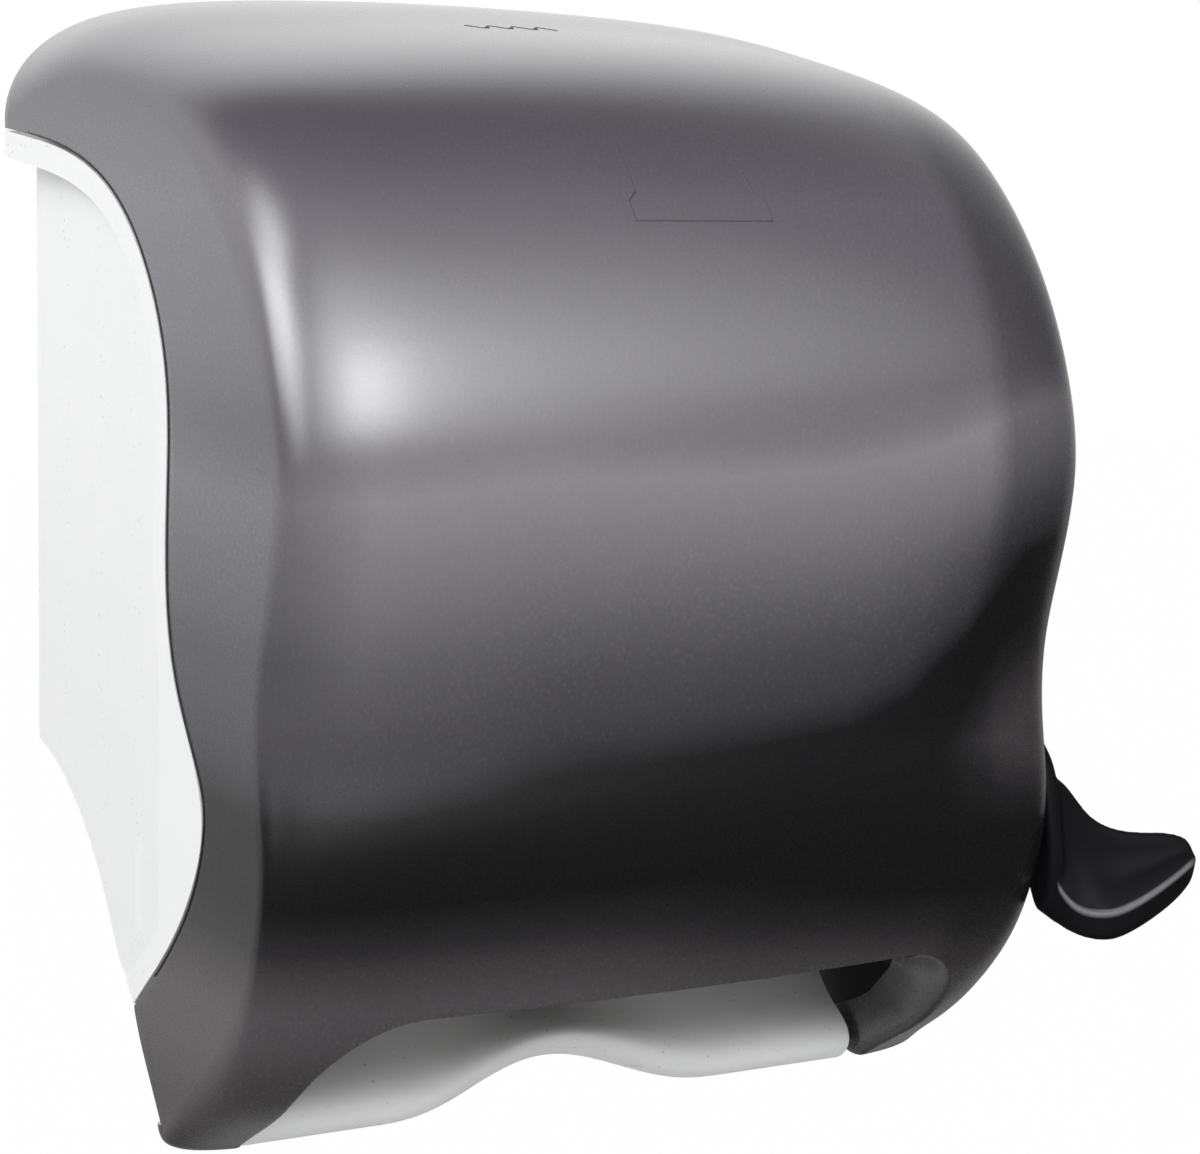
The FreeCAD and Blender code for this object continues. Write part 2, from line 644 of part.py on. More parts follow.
# ---------------------------------------------------------------- mechanism frames
def side_frame(label, side):
    """Moulded side plate that carries the rollers, the tear bar and, at the right, the lever."""
    body = new_body(label)
    start = S.frame_half_gap if side > 0 else -FRAME_OUT
    sketch = new_sketch(body, "YZ_Plane", start)
    floor = offset_path(FLOOR, S.housing_wall.value + 0.1)
    outline = [(S.back_plate.value, floor[0][1]), floor[1], floor[2], floor[3], (84.5, -126),
               (89, -136), (96, -139), (131, -140), (BAR_FRONT + S.frame_lap, S.feed_height - 9),
               (BAR_FRONT + S.frame_lap, S.feed_height + 8), (150, -92), (140, -62), (124, -42), (96, -38),
               (30, -52), (S.back_plate.value, -52)]
    draw_polygon(sketch, [(-reach, height) for reach, height in outline])
    pad(body, sketch, S.frame_thick)
    holes = new_sketch(body, "YZ_Plane", start)
    draw_circle(holes, -S.feed_reach, S.feed_height, S.bushing_radius)
    if side > 0:
        draw_circle(holes, -S.lever_reach, LEVER_HEIGHT, S.lever_shaft_radius + S.running_gap)
    draw_circle(holes, -BAR_REACH, S.feed_height, S.screw_radius)
    pocket(body, holes)
    window = new_sketch(body, "YZ_Plane", start)
    draw_polygon(window, block_outline())
    pocket(body, window)
    slot = new_sketch(body, "YZ_Plane", start)
    rise = S.spring_radius + S.spring_wire + S.screw_radius / 2
    draw_polygon(slot, [(-SPRING_START, PRESS_HEIGHT - rise), (-PRESS_REACH, PRESS_HEIGHT - rise),
                        (-PRESS_REACH, PRESS_HEIGHT + rise), (-SPRING_START, PRESS_HEIGHT + rise)])
    pocket(body, slot)
    return body


def block_outline():
    """Square of a pressure bearing block, seen from the side."""
    half = S.press_block / 2
    return [(-PRESS_REACH - half, PRESS_HEIGHT - half), (-PRESS_REACH + half, PRESS_HEIGHT - half),
            (-PRESS_REACH + half, PRESS_HEIGHT + half), (-PRESS_REACH - half, PRESS_HEIGHT + half)]


def press_block(label, side):
    """Sliding bearing block of the pressure roller, in its frame window."""
    body = new_body(label)
    start = S.frame_half_gap if side > 0 else -FRAME_OUT
    sketch = new_sketch(body, "YZ_Plane", start)
    draw_polygon(sketch, block_outline())
    pad(body, sketch, S.frame_thick)
    bore = new_sketch(body, "YZ_Plane", start)
    draw_circle(bore, -PRESS_REACH, PRESS_HEIGHT, S.press_shaft_radius + S.running_gap)
    pocket(body, bore)
    return body


# Places of the tear blade's screws along the bar.
BLADE_SCREWS = [-90, -30, 30, 90]


def front_bar():
    """Cross bar that ties the frames in front of the feed roller."""
    body = new_body("front_bar")
    sketch = new_sketch(body, "YZ_Plane")
    deep, tall = S.bar_depth / 2, S.bar_thick / 2
    draw_polygon(sketch, [(-BAR_REACH - deep, S.feed_height - tall), (-BAR_REACH + deep, S.feed_height - tall),
                          (-BAR_REACH + deep, S.feed_height + tall), (-BAR_REACH - deep, S.feed_height + tall)])
    pad(body, sketch, 2 * S.frame_half_gap, True)
    ends = new_sketch(body, "YZ_Plane")
    draw_circle(ends, -BAR_REACH, S.feed_height, S.screw_radius)
    pocket(body, ends)
    front = new_sketch(body, "XZ_Plane", BAR_REACH)
    for place_x in BLADE_SCREWS:
        draw_circle(front, place_x, S.feed_height, S.screw_radius)
    pocket(body, front)
    return body


def tear_blade():
    """Toothed steel strip on the front of the cross bar."""
    body = new_body("tear_blade")
    sketch = new_sketch(body, "XZ_Plane", BAR_REACH + S.bar_depth / 2)
    teeth = int((2 * S.frame_half_gap.value - 4) / S.tooth_pitch.value)
    half = teeth * S.tooth_pitch / 2
    top = S.feed_height + S.bar_thick / 2
    low = top - S.blade_drop
    corners = [(-half, top), (half, top)]
    for i in range(teeth):
        corners.append((half - i * S.tooth_pitch, low + S.tooth_height))
        corners.append((half - (i + 0.5) * S.tooth_pitch, low))
    corners.append((-half, low + S.tooth_height))
    spots = [FreeCAD.Vector(val(x), val(z), 0) for x, z in corners]
    for one, two in zip(spots, spots[1:] + spots[:1]):
        sketch.addGeometry(Part.LineSegment(one, two), False)
    for place_x in BLADE_SCREWS:
        draw_circle(sketch, place_x, S.feed_height, S.screw_radius)
    pad(body, sketch, S.blade_thick)
    return body


def ring(label, inner, outer, start, length, reach, height):
    """Sleeve or ring on an axis along X."""
    return turned(label, [(length, outer)], start, reach, height, inner)


def feed_parts():
    """Feed roller: steel shaft, ribbed core, rubber grips, bushings and clips."""
    axis = (S.feed_reach, S.feed_height)
    out = FRAME_OUT + 1.5
    turned("feed_shaft", [(out + S.pinion_start + S.pinion_width, S.shaft_radius)], -out, *axis)
    half = S.feed_length / 2
    seat, full, width, pitch = S.grip_seat_radius, S.feed_core_radius, S.grip_width, S.grip_pitch
    edge = half - pitch - width / 2
    between = pitch - width
    turned("feed_core", [(edge, full), (width, seat), (between, full), (width, seat), (between, full),
                         (width, seat), (edge, full)], -half, *axis, S.shaft_radius)
    for label, middle in (("feed_grip_left", -pitch), ("feed_grip_middle", pitch * 0), ("feed_grip_right", pitch)):
        ring(label, seat, S.feed_radius, middle - width / 2, width, *axis)
    bore = S.shaft_radius + S.running_gap
    flange = S.bushing_flange_thick
    turned("feed_bushing_left", [(S.frame_thick, S.bushing_radius), (flange, S.bushing_flange)],
           -FRAME_OUT, *axis, bore)
    turned("feed_bushing_right", [(flange, S.bushing_flange), (S.frame_thick, S.bushing_radius)],
           S.frame_half_gap - flange, *axis, bore)


def press_parts():
    """Pressure roller: a rubber tube on a thin steel shaft."""
    axis = (PRESS_REACH, PRESS_HEIGHT)
    half = S.feed_length / 2
    ring("pressure_roller", S.press_shaft_radius, S.press_radius, -half, S.feed_length, *axis)
    turned("pressure_shaft", [(2 * (FRAME_OUT + 1), S.press_shaft_radius)], -FRAME_OUT - 1, *axis)


# ---------------------------------------------------------------- gears and lever
def tooth_flank(teeth, module, tip, root_radius, thin):
    """One side of an involute tooth: (radius, half angle) from root to tip."""
    pitch = teeth * module / 2
    base = pitch * math.cos(math.radians(20))
    roll = math.tan(math.radians(20)) - math.radians(20)
    side = []
    count = 4
    for i in range(count + 1):
        radius = root_radius + (tip - root_radius) * i / count
        press = math.acos(min(1.0, base / max(radius, base)))
        half = math.pi / (2 * teeth) + roll - (math.tan(press) - press) - thin / pitch
        side.append((radius, half))
    return side


def gear_outline(teeth, module, first, last, phase, addendum, backlash=0.07):
    """Toothed outline over whole teeth numbered first to last, centred from phase (radians)."""
    pitch = teeth * module / 2
    tip, root_radius = pitch + addendum * module, pitch - 1.25 * module
    flank = tooth_flank(teeth, module, tip, root_radius, backlash)
    spots = []
    for tooth in range(first, last + 1):
        centre = phase + 2 * math.pi * tooth / teeth
        spots += [(radius, centre - half) for radius, half in flank]
        spots += [(radius, centre + half) for radius, half in reversed(flank)]
    return spots


def toothed(label, spots, bore, start, width, reach, height, extra=None):
    """Extrude a toothed outline along X and bore it."""
    corners = [FreeCAD.Vector(start, -reach - radius * math.cos(angle), height + radius * math.sin(angle))
               for radius, angle in spots]
    solid = Part.Face(Part.makePolygon(corners + corners[:1])).extrude(FreeCAD.Vector(width, 0, 0))
    if extra:
        solid = solid.fuse(extra)
    return feature(label, solid.cut(x_rod(bore, reach, height, start - 10, start + width + 20)))


def gears():
    """Sector on the lever shaft and the pinion that it turns."""
    module = S.gear_module.value
    feed = (S.feed_reach.value, S.feed_height.value)
    lever = (S.lever_reach.value, LEVER_HEIGHT.value)
    mesh = math.atan2(feed[1] - lever[1], feed[0] - lever[0])
    small, large = int(S.pinion_teeth.value), int(S.sector_teeth.value)
    spots = gear_outline(small, module, 0, small - 1, mesh + math.pi + math.pi / small, 1.0)
    toothed("drive_pinion", spots, S.shaft_radius, S.pinion_start.value, S.pinion_width.value, *feed)
    step = 2 * math.pi / large
    behind = int(math.radians(9) / step)
    ahead = int(math.radians(S.lever_angle.value + 9) / step)
    spots = gear_outline(large, module, -behind, ahead, mesh, 0.9)
    hub_edge = S.sector_hub_radius.value - 2
    spots += [(hub_edge, mesh + (ahead + 4) * step), (hub_edge, mesh - (behind + 4) * step)]
    hub = x_rod(S.sector_hub_radius, *lever, S.pinion_start.value, SECTOR_END.value)
    toothed("drive_sector", spots, S.lever_shaft_radius, S.pinion_start.value + 1, S.sector_width.value,
            *lever, hub)


# Sections of the lever's palm: x, its back top edge, front edge of the dish and lowest
# point as (reach, height), then thickness and depth of the dish.
PALM = [(136.5, (175, -76), (176, -104), (174, -118), 5.5, 0.3),
        (141.5, (176, -79.5), (185, -113.5), (184, -123.5), 6.0, 1.0),
        (147, (176.5, -86), (189, -118.5), (188.3, -126), 6.2, 1.8),
        (153, (178, -92), (190, -118), (189.2, -126), 6.2, 2.3),
        (160, (180, -95.6), (190.4, -115.5), (189.3, -124), 6.0, 2.4),
        (168, (181.8, -96.8), (190.4, -111.7), (189, -121), 5.6, 2.0),
        (176, (183.2, -97.4), (190, -108.2), (188.4, -117.4), 5.0, 1.3),
        (182, (184.3, -99), (188.7, -106), (187.2, -114), 4.2, 0.7),
        (186, (185.2, -102.6), (187, -105.6), (186.3, -109.6), 2.6, 0.1)]


# Side outline of the lever's arm: (reach, height).
ARM = [(106, -45.2), (130, -49), (156, -59.5), (171, -70), (177, -82), (180.5, -100), (180, -113),
       (175.5, -119.5), (170, -114), (163, -100), (148, -84), (128, -73), (108, -70.8), (96.5, -64), (96, -52)]


def palm_section(x, top, edge, low, thick, dish):
    """Closed smooth section: dished face, soft front edge, lower lip and flat back."""
    run, drop = edge[0] - top[0], edge[1] - top[1]
    span = math.hypot(run, drop)
    out = (-drop / span, run / span)
    middle = ((top[0] + edge[0]) / 2, (top[1] + edge[1]) / 2)
    spots = [top, (middle[0] - out[0] * dish, middle[1] - out[1] * dish), edge, low,
             (low[0] - out[0] * thick * 0.9, low[1] - out[1] * thick * 0.2),
             (middle[0] - out[0] * (thick + dish * 0.6), middle[1] - out[1] * (thick + dish * 0.6)),
             (top[0] - out[0] * thick * 0.8, top[1] - out[1] * thick * 0.8)]
    curve = Part.BSplineCurve()
    curve.interpolate([point(reach, height, x) for reach, height in spots], PeriodicFlag=True)
    step = (curve.LastParameter - curve.FirstParameter) / 24
    return [curve.value(curve.FirstParameter + step * (i % 24)) for i in range(25)]


def lever():
    """Press lever: arm outside the right side, swept out into a dished palm."""
    start, thick = S.arm_start.value, S.arm_thick.value
    axis = (S.lever_reach.value, LEVER_HEIGHT.value)
    curve = Part.BSplineCurve()
    curve.interpolate([point(reach, height, start) for reach, height in ARM], PeriodicFlag=True)
    arm = Part.Face(Part.Wire([curve.toShape()])).extrude(FreeCAD.Vector(thick, 0, 0))
    solid = arm.fuse(x_rod(S.arm_boss_radius, *axis, start, start + thick))
    surface = Part.BSplineSurface()
    surface.interpolate([palm_section(*row) for row in PALM])
    skin = surface.toShape()
    caps = [Part.Face(Part.Wire([e])) for e in skin.Edges if e.isClosed() and
            e.BoundBox.XLength < 0.01]
    solid = solid.fuse(closed_solid([skin] + caps))
    solid = solid.cut(x_rod(S.lever_shaft_radius, *axis, start - 1, start + thick - 1.5))
    return feature("lever", solid)


def lever_parts():
    """Lever shaft, its flanged bushing in the housing and the clip inside."""
    axis = (S.lever_reach, LEVER_HEIGHT)
    length = S.arm_start + S.arm_thick - 1.5 - S.frame_half_gap
    turned("lever_shaft", [(length, S.lever_shaft_radius)], S.frame_half_gap, *axis)
    bore = S.lever_shaft_radius + S.running_gap
    flange = S.bushing_flange_thick
    turned("lever_bushing", [(S.arm_start - 2 - S.boss_start, S.lever_bushing_radius), (flange, S.boss_radius)],
           S.boss_start, *axis, bore)


# ---------------------------------------------------------------- roll arms and hubs
def roll_arm(label, side):
    """Arm that holds one roll hub, with a knuckle on an upright pin at the back."""
    start = S.roll_arm_start.value
    thick = S.roll_arm_thick.value
    height, tall = S.roll_height.value, S.roll_arm_height.value
    knuckle, reach = S.knuckle_radius.value, S.knuckle_reach.value
    low, high = sorted((side * start, side * (start + thick)))
    far = S.roll_reach.value
    arm = polygon_prism([(reach, height - tall / 2 + 5), (far - 46, height - 13), (far, height - 15),
                         (far + 11, height - 10), (far + 15, height), (far + 11, height + 10),
                         (far, height + 15), (far - 46, height + 13), (reach, height + tall / 2 - 5)], low, high)
    middle = side * (start + thick / 2)
    barrel = Part.makeCylinder(knuckle, tall - 10, FreeCAD.Vector(middle, -reach, height - tall / 2 + 5))
    solid = arm.fuse(barrel)
    solid = solid.cut(Part.makeCylinder(S.arm_pin_radius.value + S.running_gap.value, tall,
                                        FreeCAD.Vector(middle, -reach, height - tall / 2)))
    solid = solid.cut(x_rod(S.hub_pin_radius, S.roll_reach.value, height, low - 1, high + 1))
    return feature(label, solid)


def arm_bracket(label, side):
    """Two ears on a foot against the back plate, with the pin between them."""
    middle = side * (S.roll_arm_start.value + S.roll_arm_thick.value / 2)
    height, tall = S.roll_height.value, S.roll_arm_height.value
    ear, plate = S.bracket_ear.value, S.back_plate.value
    reach, knuckle = S.knuckle_reach.value, S.knuckle_radius.value
    foot = S.bracket_foot.value
    solid = Part.makeBox(20, foot, tall + 12, FreeCAD.Vector(middle - 10, -plate - foot, height - tall / 2 - 6))
    for low in (height - tall / 2, height + tall / 2 - ear + 0.5):
        solid = solid.fuse(Part.makeBox(2 * knuckle, reach - plate, ear - 0.5,
                                        FreeCAD.Vector(middle - knuckle, -reach, low)))
        solid = solid.fuse(Part.makeCylinder(knuckle, ear - 0.5, FreeCAD.Vector(middle, -reach, low)))
    solid = solid.cut(Part.makeCylinder(S.arm_pin_radius.value, tall + 20,
                                        FreeCAD.Vector(middle, -reach, height - tall / 2 - 10)))
    for x, z in bracket_holes():
        solid = solid.cut(reach_rod(S.screw_radius, x, z, 0, plate + foot + 1))
    return feature(label, solid)


def arm_pin(label, side):
    """Upright pin through the bracket ears and the arm's knuckle."""
    pin = doc.addObject("Part::Cylinder", label)
    pin.Label = label
    bind(pin, "Radius", S.arm_pin_radius)
    bind(pin, "Height", S.roll_arm_height)
    middle = side * (S.roll_arm_start.value + S.roll_arm_thick.value / 2)
    low = S.roll_height.value - S.roll_arm_height.value / 2
    pin.Placement = FreeCAD.Placement(FreeCAD.Vector(middle, -S.knuckle_reach.value, low), FreeCAD.Rotation())
    subparts.append(pin)


def hub(side_name, side):
    """Core plug that turns on a pin headed outside the arm."""
    axis = (S.roll_reach, S.roll_height)
    flange = S.hub_flange_thick
    inside = S.roll_arm_start - S.hub_gap
    bore = S.hub_pin_radius + S.running_gap
    pin_start = inside - flange - S.hub_depth + 2
    if side > 0:
        turned("hub_" + side_name, [(S.hub_depth - flange, S.hub_radius), (flange, S.hub_flange_radius)],
               inside - S.hub_depth, *axis, bore)
        turned("hub_pin_" + side_name, [(S.roll_arm_start + S.roll_arm_thick - pin_start, S.hub_pin_radius),
                                        (2.5, 6.5)], pin_start, *axis)
    else:
        turned("hub_" + side_name, [(flange, S.hub_flange_radius), (S.hub_depth - flange, S.hub_radius)],
               -inside, *axis, bore)
        turned("hub_pin_" + side_name, [(2.5, 6.5), (S.roll_arm_start + S.roll_arm_thick - pin_start,
                                                    S.hub_pin_radius)],
               -S.roll_arm_start - S.roll_arm_thick - 2.5, *axis)


def hinge_pin(label, side):
    """Cover hinge pin, pressed in the return wall and turning in the chin."""
    start = S.exit_half_width - S.hinge_pin_length if side > 0 else -S.exit_half_width
    turned(label, [(S.hinge_pin_length, S.hinge_pin_radius)], start, S.hinge_reach, S.hinge_height)


# ---------------------------------------------------------------- key latch
def latch_catch():
    """Strap from the back plate up to a hook under the cover's key slot."""
    half, thick = S.catch_half_width.value, S.catch_thick.value
    reach, low, tip = S.catch_reach.value, S.catch_height.value, S.catch_tip.value
    back = S.back_plate.value
    shape = polygon_prism([(back, low - 9), (back + thick, low - 9), (back + thick, low),
                           (reach + thick, low), (reach + thick, tip - 2), (reach + thick - 1.5, tip),
                           (reach, tip), (reach, low + thick), (back, low + thick)], -half, half)
    return feature("latch_catch", shape)


def key_latch():
    """Sliding plate with a window over the hook; thrown, its back bar drops behind the hook."""
    half, thick = S.latch_half_width.value, S.latch_thick.value
    low = S.catch_tip.value + S.latch_gap.value
    hook, free = S.catch_reach.value, 1.0
    back, front = hook - free - 3, S.latch_reach.value + 1.4
    plate = plan_prism([(-half, back), (half, back), (half, front), (-half, front)], low, low + thick)
    gap = S.catch_half_width.value + free
    window = plan_prism([(-gap, hook - free), (gap, hook - free), (gap, hook + S.catch_thick.value + free + 0.5),
                         (-gap, hook + S.catch_thick.value + free + 0.5)], low - 1, low + thick + 1)
    return feature("key_latch", plate.cut(window))


def latch_guide():
    """U-shaped guide under the dome that the latch slides in, with a ledge below its throw."""
    gap = S.latch_half_width.value + S.running_gap.value
    out = gap + S.guide_wall.value
    back, front = S.catch_reach.value - 8, S.latch_reach.value + 1.7
    plan = [(-out, back), (-gap, back), (-gap, front), (gap, front), (gap, back), (out, back),
            (out, front + S.guide_wall.value), (-out, front + S.guide_wall.value)]
    low = S.catch_height.value + S.catch_thick.value + 1.5
    shape = plan_prism(plan, low, 200).common(dome_solid(S.cover_wall.value))
    stop = S.catch_tip.value + S.latch_gap.value - S.latch_throw.value - S.running_gap.value
    for side in (-1, 1):
        near, far = sorted((side * (gap - S.guide_ledge.value), side * out))
        shape = shape.fuse(plan_prism([(near, back), (far, back), (far, front), (near, front)], low, stop))
    return feature("latch_guide", shape)


# ---------------------------------------------------------------- springs, clips and screws
def coil(label, radius, wire, turns, length, base, rotation):
    """Wire coil along its own +Z: a round section swept along a helix."""
    pitch = length / turns
    spine = doc.addObject("Part::Helix", label + "_line")
    bind(spine, "Radius", radius)
    bind(spine, "Pitch", pitch)
    bind(spine, "Height", length)
    section = doc.addObject("Part::Circle", label + "_wire")
    bind(section, "Radius", wire)
    climb = math.degrees(math.atan2(val(pitch), 2 * math.pi * val(radius)))
    section.Placement = FreeCAD.Placement(FreeCAD.Vector(val(radius), 0, 0),
                                          FreeCAD.Rotation(FreeCAD.Vector(1, 0, 0), climb - 90))
    bind(section, "Placement.Base.x", radius)
    made = doc.addObject("Part::Sweep", label)
    made.Label = label
    made.Sections = [section]
    made.Spine = (spine, ["Edge1"])
    made.Solid = True
    made.Frenet = True
    made.Placement = FreeCAD.Placement(base, rotation)
    return made


def pressure_spring(label, side):
    """Compression spring in the frame's slot, behind the pressure roller's block."""
    middle = side * (S.frame_half_gap + S.frame_thick / 2).value
    inside = S.spring_wire + S.running_gap
    base = point((SPRING_START + inside).value, PRESS_HEIGHT.value, middle)
    made = coil(label, S.spring_radius, S.spring_wire, S.spring_turns, S.spring_length - 2 * inside,
                base, FreeCAD.Rotation(FreeCAD.Vector(1, 0, 0), 90))
    subparts.append(made)


def spring_leg_place():
    """Reach and height of the torsion spring's fixed leg, at the back of its coil."""
    return S.lever_reach.value - S.coil_radius.value - 3, LEVER_HEIGHT.value


def lever_spring():
    """Torsion spring round the lever shaft, between the sector and the housing boss."""
    start = SECTOR_END + S.coil_wire + COIL_GAP
    room = S.boss_start - COIL_GAP - S.coil_wire - start
    base = point(S.lever_reach.value, LEVER_HEIGHT.value, start.value)
    turn = FreeCAD.Rotation(FreeCAD.Vector(0, 1, 0), FreeCAD.Vector(0, 0, 1), FreeCAD.Vector(1, 0, 0), "ZXY")
    made = coil("lever_spring_coil", S.coil_radius, S.coil_wire, S.coil_turns, room, base, turn)
    doc.recompute()
    last = (start + room).value
    leg = spring_leg_place()
    reach_in = S.lever_reach.value - S.coil_radius.value
    radial = Part.makeCylinder(S.coil_wire.value, reach_in - leg[0], point(reach_in, leg[1], last),
                               FreeCAD.Vector(0, 1, 0))
    knee = Part.makeSphere(S.coil_wire.value, point(leg[0], leg[1], last))
    hooked = x_rod(S.coil_wire, *leg, last, S.boss_start.value + 2)
    feature("lever_spring", made.Shape.fuse([radial, knee, hooked]))


def clip_ring(start, radius, reach, height):
    """Open retaining ring on a shaft, split towards the wall."""
    thick = S.clip_thick.value
    whole = x_rod(radius + S.clip_reach.value, reach, height, start, start + thick)
    whole = whole.cut(x_rod(radius, reach, height, start - 1, start + thick + 1))
    gap = Part.makeBox(thick + 2, 30, 1.4 * radius, point(reach, height - 0.7 * radius, start - 1))
    return whole.cut(gap)


def shaft_clips():
    """Retaining rings: one on the feed shaft, two on the pressure roller's shaft."""
    gap = 0.2
    start = FRAME_OUT.value + gap
    low = -start - S.clip_thick.value
    feature("feed_clip", clip_ring(low, S.shaft_radius.value, S.feed_reach.value, S.feed_height.value))
    place = (S.press_shaft_radius.value, PRESS_REACH.value, PRESS_HEIGHT.value)
    feature("pressure_clips", Part.makeCompound([clip_ring(low, *place), clip_ring(start - 0.1, *place)]))


def reach_rod(radius, x, z, low, high):
    """Round bar along the reach."""
    return Part.makeCylinder(val(radius), high - low, point(low, z, x), FreeCAD.Vector(0, -1, 0))


def screw(head, axis, length):
    """Pan-head screw: the head's underside at a point, the shank along an axis."""
    back = FreeCAD.Vector(axis).multiply(-1)
    cap = Part.makeCylinder(S.screw_head_radius.value, S.screw_head.value, head, back)
    rim = max(cap.Edges, key=lambda e: (e.CenterOfMass - head).dot(back))
    cap = cap.makeFillet(0.8, [rim])
    drive_size = 0.7
    top = head + back * (S.screw_head.value - 0.7)
    for turn in (0, 1):
        across = FreeCAD.Vector(0, 0, 1) if turn else back.cross(FreeCAD.Vector(0, 0, 1))
        slot = Part.makeBox(2.8, drive_size, 2, FreeCAD.Vector(-1.4, -drive_size / 2, 0))
        slot.Placement = FreeCAD.Placement(top, FreeCAD.Rotation(across, back.cross(across), back, "XYZ"))
        cap = cap.cut(slot)
    return cap.fuse(Part.makeCylinder(S.screw_radius.value, length, head, axis))


def bracket_holes():
    """Places (x, z) of the arm brackets' screws."""
    middle = S.roll_arm_start.value + S.roll_arm_thick.value / 2
    off = S.roll_arm_height.value / 2 + 3
    height = S.roll_height.value
    return [(side * middle, height + way * off) for side in (-1, 1) for way in (-1, 1)]


def screws():
    """Screws of the cross bar, the tear blade and the arm brackets."""
    length = S.screw_length.value
    bar = [screw(point(BAR_REACH.value, S.feed_height.value, side * FRAME_OUT.value),
                 FreeCAD.Vector(-side, 0, 0), length) for side in (-1, 1)]
    feature("bar_screws", Part.makeCompound(bar))
    front = (BAR_FRONT + S.blade_thick).value
    blade = [screw(point(front, S.feed_height.value, x), FreeCAD.Vector(0, 1, 0), length)
             for x in BLADE_SCREWS]
    feature("blade_screws", Part.makeCompound(blade))
    foot = S.back_plate.value + S.bracket_foot.value
    short = foot - 0.4
    bracket = [screw(point(foot, z, x), FreeCAD.Vector(0, 1, 0), short) for x, z in bracket_holes()]
    feature("bracket_screws", Part.makeCompound(bracket))


cover_shell()
housing()
chin()
latch_catch()
key_latch()
latch_guide()
for name, way in (("left", -1), ("right", 1)):
    side_frame("side_frame_" + name, way)
    press_block("pressure_block_" + name, way)
    pressure_spring("pressure_spring_" + name, way)
    roll_arm("roll_arm_" + name, way)
    arm_bracket("arm_bracket_" + name, way)
    arm_pin("arm_pin_" + name, way)
    hub(name, way)
    hinge_pin("cover_hinge_pin_" + name, way)
front_bar()
tear_blade()
feed_parts()
press_parts()
gears()
lever()
lever_parts()
lever_spring()
shaft_clips()
screws()


def check_and_write():
    """Stop on any failed object, then write one STEP file for each sub-part."""
    doc.recompute()
    for thing in doc.Objects:
        if "Invalid" in thing.State or "Error" in thing.State:
            raise RuntimeError("%s failed: %s" % (thing.Label, thing.State))
    os.makedirs("parts", exist_ok=True)
    for part in subparts:
        shape = part.Shape
        if shape.isNull() or not shape.isValid():
            raise RuntimeError(part.Label + " has no valid shape")
        shape.exportStep("parts/%s.step" % part.Label)
        print("%-24s solids %d volume %.0f" % (part.Label, len(shape.Solids), shape.Volume))


check_and_write()
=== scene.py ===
"""Lever paper towel dispenser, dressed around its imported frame.

Row frame, metres: the origin is on the wall in the middle of the wall screws, +X right,
-Y out of the wall, +Z up.  "Reach" is the distance out of the wall, so reach = -Y.
"""
import json
import math

import bmesh
import bpy
import numpy as np
from mathutils import Matrix, Vector


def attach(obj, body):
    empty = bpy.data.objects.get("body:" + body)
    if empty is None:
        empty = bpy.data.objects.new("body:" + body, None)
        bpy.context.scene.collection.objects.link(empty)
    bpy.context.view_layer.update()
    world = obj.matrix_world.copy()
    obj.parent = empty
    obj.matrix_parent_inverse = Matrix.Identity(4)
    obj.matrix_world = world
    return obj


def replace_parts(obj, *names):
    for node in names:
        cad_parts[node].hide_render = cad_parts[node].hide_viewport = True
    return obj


MM = 0.001
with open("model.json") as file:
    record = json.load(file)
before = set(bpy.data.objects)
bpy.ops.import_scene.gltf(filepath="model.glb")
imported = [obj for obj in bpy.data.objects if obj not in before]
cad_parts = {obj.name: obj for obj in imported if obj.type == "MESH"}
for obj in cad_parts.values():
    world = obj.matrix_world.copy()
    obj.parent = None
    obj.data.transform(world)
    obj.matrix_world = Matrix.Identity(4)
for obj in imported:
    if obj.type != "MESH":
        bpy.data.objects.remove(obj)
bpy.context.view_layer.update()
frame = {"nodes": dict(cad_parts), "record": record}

# ------------------------------------------------------------------ form sizes, millimetres
WALL_HALF_WIDTH = 131.0      # half width of the body at the wall
WIDTH_TAPER = 2.0            # narrowing of the half width over the taper reach
TAPER_REACH = 192.0
COVER_WALL = 2.5
EXIT_HALF_WIDTH = 108.0      # towel exit cut in the cover
EXIT_TOP = -125.0
EXIT_CORNER = 28.0
SEAM_GAP = 0.8
SEAM_LINE_WIDTH = 1.1
SEAM_LINE_ENDS = (0.4, 1.6)  # how far inside the ends of SEAM it starts and stops, in its rows
SEAM_LINE_STEPS = 240
SEAM_LINE_OFF = 0.25         # from the cover's edge
SEAM_LINE_RAISE = 0.12       # above the flank, and its thickness

# Patches of the cover: the station where the lower rows begin, rows and columns, how much the
# central columns crowd towards the exit's sides, and the heel's first step after the seam.
LOWER_START = 14.0
UPPER_ROWS, LIP_ROWS, FOOT_ROWS, ROLL_ROWS, WALL_ROWS = 169, 30, 14, 12, 14
LIP_COLUMNS, SIDE_COLUMNS, FLANK_COLUMNS, SEAM_STEPS = 73, 34, 12, 400
CROWDING = 0.35
HEEL_STEPS, HEEL_SKIP = 40, 4
FOLD_AT_LIP, FOLD_GAIN = 2, 7
# Foot beside the exit, each at the exit and its change towards the flank: where the roll ends
# in reach and in height, and how strongly it leaves and arrives.
FOOT_ROLL = ((104.7, 13.3), (-168, 2.5), (22, -18), (16, -14))
# Halvings of a bisection, and the stations between which it looks.
HALVINGS = 40
LIP_STATIONS, FRONT_STATIONS, TOP_STATIONS = (12.5, 18.0), (2.5, 9.0), (1.0, 4.0)

